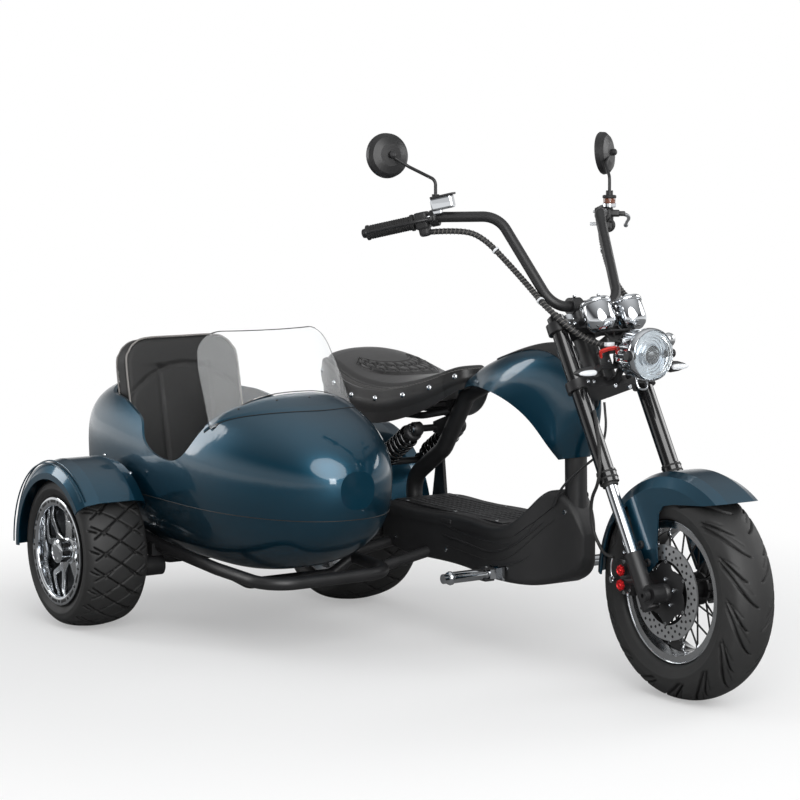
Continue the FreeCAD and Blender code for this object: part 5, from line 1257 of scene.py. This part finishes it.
def shock_detail():
    """A coil-over damper each side: body, rod, spring, collars and eyes with bright bolts."""
    out, turns, coil_radius, wire_radius, coil_start = 67, 7.0, 24.5, 4.6, 32
    eye_ring = [(9.2, -12), (17, -12), (18.5, -10), (18.5, 10), (17, 12), (9.2, 12)]
    bodies, springs, bolts = [], [], []
    for side in (-1, 1):
        top, low = at(-1015, side * out, 522), at(-1190, side * out, 412)
        run = low - top
        length = run.length * 1000
        run.normalize()
        upper_part = [(0, 10), (15, 10), (22, 13), (24, 16), (24, 26), (20, 28), (12, 30), (12, 96), (15, 98)]
        lower_part = [(reach, length - back) for reach, back in (
            (15, 40), (23, 38), (24, 30), (22, 26), (12, 20), (12, 12), (0, 12))]
        bodies.append(lathe(upper_part + lower_part, top, run, 36))
        for eye in (top, low):
            bodies.append(ring_lathe(eye_ring, eye, ACROSS, 32))
            bolts.append((eye + ACROSS * side * 0.0125, ACROSS * side, 12.5 if eye is top else 9.0))
        share = np.linspace(0, 1, 260)
        swing = share * turns * 2 * math.pi
        aside, upright = frame_about(run)
        rise = coil_start + (length - 40 - coil_start) * share
        round_it = np.outer(np.cos(swing), aside) + np.outer(np.sin(swing), upright)
        coil = np.array(top) + (np.outer(rise, np.array(run)) + round_it * coil_radius) / 1000
        springs.append(sweep(coil, wire_radius, 10))
    obj = piece("shock_bodies", merged(bodies), "chassis", "black_paint", MOULDED)
    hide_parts("shocks")
    piece("shock_springs", merged(springs), "chassis", "black_paint", ENAMEL, 80)
    screws("shock_bolts", bolts, "chassis", "chrome", CHROME, 0.5)


# The sidecar's soft seat, its screen, trim and wheel.

SEAT_MIDDLE = MIDDLE - SIDECAR_OUT / 1000


def even_mesh(obj):
    """Remeshes a soft piece into small even faces."""
    grain = obj.modifiers.new("even_mesh", "REMESH")
    grain.mode, grain.voxel_size = "VOXEL", 0.006
    even = evaluated(obj)
    obj.modifiers.clear()
    obj.data = even


def swollen(obj, cap):
    """An even mesh's points, blown up by cloth pressure, never further than the cap in millimetres."""
    before = np.array([vert.co for vert in obj.data.vertices])
    cloth = obj.modifiers.new("foam_pressure", "CLOTH")
    cloth.settings.use_pressure, cloth.settings.uniform_pressure_force = True, 4.0
    cloth.settings.effector_weights.gravity = 0
    cloth.settings.quality = 5
    for step in range(1, 21):
        bpy.context.scene.frame_set(step)
    shift = np.array([vert.co for vert in evaluated(obj).vertices]) - before
    obj.modifiers.clear()
    bpy.context.scene.frame_set(1)
    far = np.linalg.norm(shift, axis=1)
    return before + shift * np.minimum(1, cap / 1000 / np.maximum(far, 1e-9))[:, None]


def settle(obj, points, node):
    """Writes the final points into a padded vinyl piece that stands for a CAD node."""
    obj.data.vertices.foreach_set("co", np.asarray(points).ravel())
    obj.data.update()
    obj.data.shade_smooth()
    obj.data.materials.clear()
    keep(obj, "chassis", "leather", VINYL)
    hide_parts(node)


def seat_cushion():
    """The seat's pad, with two lengthways seams and a cross seam between them."""
    low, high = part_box("sidecar_cushion")
    low_inside = Vector(low) + Vector((8, 8, 2)) / 1000
    high_inside = Vector(high) - Vector((8, 8, 8)) / 1000
    spread = tuple((high_inside - low_inside) * 1000)
    points, faces = rounded_box((low_inside + high_inside) / 2, spread, 22, segments=5)
    mesh = bpy.data.meshes.new("seat_cushion")
    mesh.from_pydata(points.tolist(), [], faces)
    obj = linked("seat_cushion", mesh)
    even_mesh(obj)
    points = swollen(obj, 6)
    along = (points[:, 0] - low[0]) / (high[0] - low[0])
    across = np.abs(points[:, 1] - SEAT_MIDDLE)
    top = soft_step(low[2] + 0.03, low[2] + 0.06, points[:, 2])
    seams = np.exp(-((across - 0.10) / 0.004) ** 2) + np.exp(-((along - 0.5) / 0.012) ** 2) * (across < 0.10)
    points[:, 2] -= top * 0.005 * np.clip(seams, 0, 1)
    points[:, 2] = np.clip(points[:, 2], low[2] + 0.0005, high[2] - 0.0005)
    settle(obj, points, "sidecar_cushion")


def seat_back():
    """The backrest: three pillows between two upright channels, under an arched one."""
    obj = linked("seat_back", cad["sidecar_backrest"].data.copy())
    form = bmesh.new()
    form.from_mesh(obj.data)
    bmesh.ops.remove_doubles(form, verts=form.verts, dist=1e-5)
    form.to_mesh(obj.data)
    form.free()
    even_mesh(obj)
    points = np.array([vert.co for vert in obj.data.vertices])
    normals = np.array([vert.normal for vert in obj.data.vertices])
    low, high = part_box("sidecar_backrest")
    arch_height = 0.80
    lift = (points[:, 2] - low[2]) / (high[2] - low[2])
    across = points[:, 1] - SEAT_MIDDLE
    front = soft_step(0.55, 0.8, normals[:, 0])
    channel = np.zeros(len(points))
    for seam in (-0.075, 0.075):
        channel = np.maximum(channel, np.exp(-((across - seam) / 0.0035) ** 2) * (lift < arch_height))
    arch = lift - arch_height + (across / 0.36) ** 2
    channel = np.maximum(channel, np.exp(-(arch / 0.012) ** 2))
    pillow = np.abs(np.cos(np.clip(across / 0.15, -1.15, 1.15) * math.pi))
    points -= normals * (front * (0.007 * channel + 0.003 * (1 - pillow) * (lift < arch_height)))[:, None]
    settle(obj, points, "sidecar_backrest")


def seat_piping():
    """Grey welts round the backrest's front and back edges."""
    tilt = math.radians(-12)
    lean = Vector((math.sin(tilt), 0, math.cos(tilt)))
    face = Vector((math.cos(tilt), 0, -math.sin(tilt)))
    root = at(-1573, -SIDECAR_OUT, 388)
    right = [(-170, 20), (-170.5, 180), (-169, 290), (-158, 318), (-140, 338), (-104, 350.5)]
    outline = right + [(0, 351.5)] + [(-out, up) for out, up in right[::-1]]
    welts = []
    for front_side in (30, -26):
        line = [root + (lean * up + face * front_side + ACROSS * out) / 1000 for out, up in outline]
        welts.append(sweep(smooth_line(line, 6), 2.6, 10))
    piece("backrest_piping", merged(welts), "chassis", "leather", PIPING, 80)


def surface_tree(*names):
    """A ray-cast tree over some CAD nodes, so that trim can lie on their skins."""
    points, faces, start = [], [], 0
    for name in names:
        mesh = cad[name].data
        points += [tuple(vert.co) for vert in mesh.vertices]
        faces += [[corner + start for corner in poly.vertices] for poly in mesh.polygons]
        start += len(mesh.vertices)
    return BVHTree.FromPolygons(points, faces)


def sharp_edges(node, degrees):
    """The edges of a CAD node where its faces turn by more than so many degrees."""
    form = bmesh.new()
    form.from_mesh(cad[node].data)
    bmesh.ops.remove_doubles(form, verts=form.verts, dist=1e-5)
    form.verts.index_update()
    edges = [tuple(vert.index for vert in edge.verts) for edge in form.edges
             if len(edge.link_faces) == 2 and edge.calc_face_angle() > math.radians(degrees)]
    points = [tuple(vert.co) for vert in form.verts]
    form.free()
    used = sorted({index for edge in edges for index in edge})
    place = {index: order for order, index in enumerate(used)}
    return [points[index] for index in used], [(place[a], place[b]) for a, b in edges]


def tub_seam(skin):
    """The rubber seal in the joint between shell and tub, found by casting rays in at its height."""
    joint_height, rays = 354.6, 160
    seam = []
    for step in range(rays):
        swing = 2 * math.pi * step / rays
        way = Vector((math.cos(swing), math.sin(swing), 0))
        hit = skin.ray_cast(at(-1240, -SIDECAR_OUT, joint_height) + way * 1.2, -way)
        if hit[0] is not None:
            seam.append(hit[0] + way * 0.0002)
    seal = sweep(smooth_line(seam, 12, True), 1.1, 8, closed=True)
    piece("tub_seam_seal", seal, "chassis", "black_plastic", MOULDED, 80)


def screen_cowl(skin):
    """The painted band at the screen's foot, its seal, whose black line also stands for the shadow under the
    band's front edge, and its bolts, laid on the shell's skin.
    """
    half_sweep, columns, foot_back, longest = 57, 81, 9, 94
    lifts = [-1.0, 1.6] + [3.6] * 8 + [1.6, -1.0]
    rows, front_edge, foot_edge = [], [], []
    for swing in np.radians(np.linspace(-half_sweep, half_sweep, columns)):
        reach = 4 + longest * max(0.0, math.cos(swing * 90 / half_sweep)) ** 2.2
        row = []
        for share in np.linspace(0, 1, 10):
            ahead = (reach + foot_back) * share - foot_back
            x, y = -1234 + (262 + ahead) * math.cos(swing), -SIDECAR_OUT + (257 + ahead) * math.sin(swing)
            row.append(skin.ray_cast(at(x, y, 900), -HIGH)[:2])
        front_edge.append(row[-1])
        foot_edge.append(row[3])
        rows += [hit + way * lift / 1000 for (hit, way), lift in zip(row[:1] + row + row[-1:], lifts)]
    points = np.array([tuple(point) for point in rows])
    width = len(lifts)
    faces = grid_faces(columns, width)
    faces += [list(range(width)), list(range((columns - 1) * width, columns * width))]
    piece("screen_cowl_band", (points, faces), "chassis", "blue_paint", LACQUER, 50)
    # A rubber seal along the band's front edge, whose black line also serves as painted shadow under that
    # edge.
    line = smooth_line([hit + way * 0.0006 for hit, way in front_edge[::4]], 4)
    piece("cowl_seal", sweep(line, 1.1, 8), "chassis", "black_plastic", RUBBER, 80)
    bolts = [(foot_edge[column][0] + foot_edge[column][1] * 0.0034, foot_edge[column][1], 3.4)
             for column in (14, 28, 40, 52, 66)]
    screws("cowl_bolts", bolts, "chassis", "black_paint", POWDER, 0.5)


def sidecar_trim():
    """The seam's seal, the dark line round the screen's edge and the cowl at its foot."""
    skin = surface_tree("sidecar_shell", "sidecar_tub")
    tub_seam(skin)
    wire = wire_mesh("screen_edge_line", *sharp_edges("sidecar_screen", 50))
    grown("screen_edge_line", wire, edge_bead_tree(MOULDED), {"Bead radius": 0.0010}, "chassis",
          "black_plastic")
    screen_cowl(skin)


def guard_detail():
    """Rolled beads and stay bolts of the sidecar's mudguard."""
    turn = np.radians(np.linspace(181, 41, 120))
    edges = ((231.5, 99.5), (236.8, 88))
    beads = [sweep(wheel_arc(SIDE_AXLE, reach, -out, turn), 2.0, 8) for reach, out in edges]
    piece("guard_beads", merged(beads), "chassis", "blue_paint", LACQUER, 80)
    spots = []
    for degrees in (96, 60):
        place = on_wheel(SIDE_AXLE, 240.5, degrees, 70)
        spots.append((place, place - on_wheel(SIDE_AXLE, 0, 0, 70), 5.0))
    screws("guard_stay_bolts", spots, "chassis", "steel", CHROME, 0.5)


def alloy_wheel_detail():
    """The sidecar's deep-dish wheel: slotted lip, polished barrel, five forked spokes and slotted cap, whose
    slots, vents and holes are dark pieces of painted shade.
    """
    start, spoke_count, lip_count = SIDE_AXLE, 5, 15
    barrel = [(141.2, 83), (141.2, 87), (139, 88), (122, 87.4), (120, 86), (118.5, 82), (116.5, 20),
              (116.5, -80), (119, -86), (141.2, -86), (141.2, -80), (128, -76), (126, -30), (126, 60),
              (128, 76), (138, 80)]
    obj = piece("alloy_barrel", ring_lathe(barrel, start, -ACROSS, 140), "sidecar_wheel", "alloy", CHROME, 40)
    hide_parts("sidecar_rim")
    back = [ring_lathe([(24, -6), (117, -6), (117, 2), (24, 2)], start, -ACROSS, 96),
            lathe([(30, -60), (46, -60), (50, -40), (50, 0), (30, 6)], start, -ACROSS, 48)]
    piece("alloy_wheel_back", merged(back), "sidecar_wheel", "black_paint", POWDER)
    spokes = []
    for index in range(spoke_count):
        middle = 360 / spoke_count * index + 18
        spokes.append(radial_box(start, 52, middle, -46, (52, 34, 12), 3.5))
        for lean in (-1, 1):
            inner = on_wheel(start, 66, middle + lean * 5, -46)
            outer = on_wheel(start, 117, middle + lean * 15, -44)
            arm = (outer - inner).normalized()
            spread = ((outer - inner).length * 1000 + 12, 15, 11)
            spokes.append(rounded_box((inner + outer) / 2, spread, 3.2, (arm, ACROSS.cross(arm), ACROSS)))
    spokes.append(ring_lathe([(13, 2), (40, 6), (40, 38), (38, 50), (34, 55), (13, 55)], start, -ACROSS, 60))
    piece("alloy_spokes", merged(spokes), "sidecar_wheel", "alloy", ALLOY, 40)
    cap = [(0, 50), (31, 50), (32, 52), (32, 60), (29.5, 61), (29.5, 80), (31, 81), (31, 84), (28, 86.5),
           (12, 87.5), (0, 87.6)]
    piece("hub_cap", lathe(cap, start, -ACROSS, 72), "sidecar_wheel", "alloy", CHROME, 40)
    # Dark blocks where the cap's vents are: painted shade standing for the openings.
    vents = [radial_box(start, 29.4, 36 * index, -70.5, (2.4, 9, 16), 1) for index in range(10)]
    piece("hub_cap_vents", merged(vents), "sidecar_wheel", "black_plastic", MOULDED)
    nuts = [(on_wheel(start, 21, 72 * index, -86.8), -ACROSS, 4.0) for index in range(5)]
    screws("hub_cap_screws", nuts, "sidecar_wheel", "steel", ZINC, 0.4)
    # Dark blocks and discs where the lip's slots and holes are: painted shade standing for the openings.
    step = 360 / lip_count
    slots = [radial_box(start, 131, step * index, -87.8, (7.5, 27, 1.6), 0.7) for index in range(lip_count)]
    piece("lip_slots", merged(slots), "sidecar_wheel", "black_plastic", MOULDED, 60)
    holes = [(on_wheel(start, 131, step * (index + 0.5), -88.0), -ACROSS, 3.8) for index in range(lip_count)]
    screws("lip_holes", holes, "sidecar_wheel", "black_plastic", MOULDED, 0.3)


def floor_detail():
    """The lid's bolts and the floor mat's ribs."""
    bolts = [(at(x, side * 78, 332), HIGH, 5.0) for x in (-1040, -820, -640) for side in (-1, 1)]
    screws("lid_bolts", bolts, "chassis", "steel", ZINC, 0.5)
    ribs = [rounded_box(at(-846, shift, 332.6), (400, 9, 2.4), 1, segments=2) for shift in range(-60, 61, 20)]
    piece("floor_ribs", merged(ribs), "chassis", "black_plastic", MAT)


def case_detail():
    """Moulded lines along the case's sides, its bolts and its latches."""
    case_lines = (
        ("case_floor_edge", 1.8, CASE, [(-839, 113, 305), (-746, 106, 288), (-641, 110, 285),
                                        (-571, 105, 286), (-543, 97, 291), (-519, 87, 306), (-498, 76, 337),
                                        (-485, 71, 355)]),
        ("case_lip", 2.8, CASE, [(-845, 109, 274), (-746, 106, 267), (-641, 110, 260), (-587, 108, 268),
                                 (-543, 97, 287), (-508, 82, 316), (-471, 61, 350)]),
        ("case_groove", 1.5, RUBBER, [(-844, 109, 249), (-746, 106, 242), (-651, 110, 238), (-587, 107, 244),
                                      (-543, 97, 264), (-508, 82, 296), (-476, 64, 330), (-442, 48, 359)]),
        ("case_swell", 2.6, CASE, [(-641, 110, 225), (-578, 106, 231), (-525, 90, 249), (-497, 75, 269)]),
    )
    for name, thick, material, points in case_lines:
        line = smooth_line([at(x, -y, z) for x, y, z in points], 6)
        order = np.arange(len(line))
        taper = thick * np.minimum(1, 0.25 + np.minimum(order, order[::-1]) / 8)
        piece(name, pair(sweep(line, taper, 10)), "chassis", "black_plastic", material, 80)
    skin = surface_tree("battery_box")
    spots, latches = [], []
    for x, z, radius in ((-415, 380, 6.0), (-563, 226, 5.0), (-1040, 240, 5.0), (-820, 236, 5.0)):
        for side in (-1, 1):
            hit = skin.ray_cast(at(x, side * 300, z), ACROSS * -side)
            if hit[0] is not None:
                spots.append((hit[0], ACROSS * side, radius))
    screws("case_bolts", spots, "chassis", "chrome", CHROME, 0.5)
    for side in (-1, 1):
        hit = skin.ray_cast(at(-814, side * 300, 312), ACROSS * -side)
        if hit[0] is not None:
            latches.append(rounded_box(hit[0], (44, 3, 10), 1.4))
    piece("case_latches", merged(latches), "chassis", "black_plastic", MOULDED)


def peg_detail():
    """The foot pegs' chromed tubes, their treads and the folding brackets with their pins."""
    x, z = -588, 214
    tube = [(0, 0), (15.5, 0), (16, 3), (13.4, 5), (13.4, 98), (16.5, 101), (17, 106), (15, 111), (11, 114),
            (0, 115)]
    pegs, treads = [], []
    for side in (-1, 1):
        root, bracket = at(x, side * 150, z), at(x, side * 146, z)
        pegs.append(lathe(tube, root, ACROSS * side, 40))
        treads += [rounded_box(root + ACROSS * side * 0.052 + HIGH * 0.0125, (9, 86, 4), 1.6),
                   rounded_box(bracket + HIGH * 0.014, (30, 28, 5), 2),
                   rounded_box(bracket - HIGH * 0.014, (30, 28, 5), 2)]
    piece("peg_tubes", merged(pegs), "chassis", "chrome", CHROME, 40)
    piece("peg_treads", merged(treads), "chassis", "black_plastic", MOULDED)
    pins = [(at(x, side * 146, 230.5), HIGH, 5.0) for side in (-1, 1)]
    screws("peg_pins", pins, "chassis", "steel", ZINC, 0.5)


camera()
studio_sky()
studio_floor()
softbox("key_glow", (4.9, -1.6, 3.3), (0.0, -0.1, 0.5), 6.4, 4.6, 300, "ELLIPSE")
softbox("key_window", (4.4, -1.3, 0.9), (0.0, -0.1, 0.5), 0.9, 0.8, 26)
softbox("side_strip", (-3.4, -2.6, 1.8), (0, 0, 0.5), 1.2, 2.6, 40, "ELLIPSE")
softbox("back_strip", (1.2, 3.8, 2.2), (0, 0, 0.5), 3.0, 1.6, 50, "ELLIPSE")
dress_nodes()
front_wheel_detail()
wide_tyres()
caliper_detail()
fork_detail()
lamp_detail()
lamp_mounting()
gauge_detail()
grip_detail()
switch_detail()
lever_detail()
mirror_detail()
loom_wrap()
saddle_detail()
shock_detail()
seat_cushion()
seat_back()
seat_piping()
sidecar_trim()
guard_detail()
alloy_wheel_detail()
floor_detail()
case_detail()
peg_detail()

bpy.context.scene.view_settings.view_transform = "Standard"
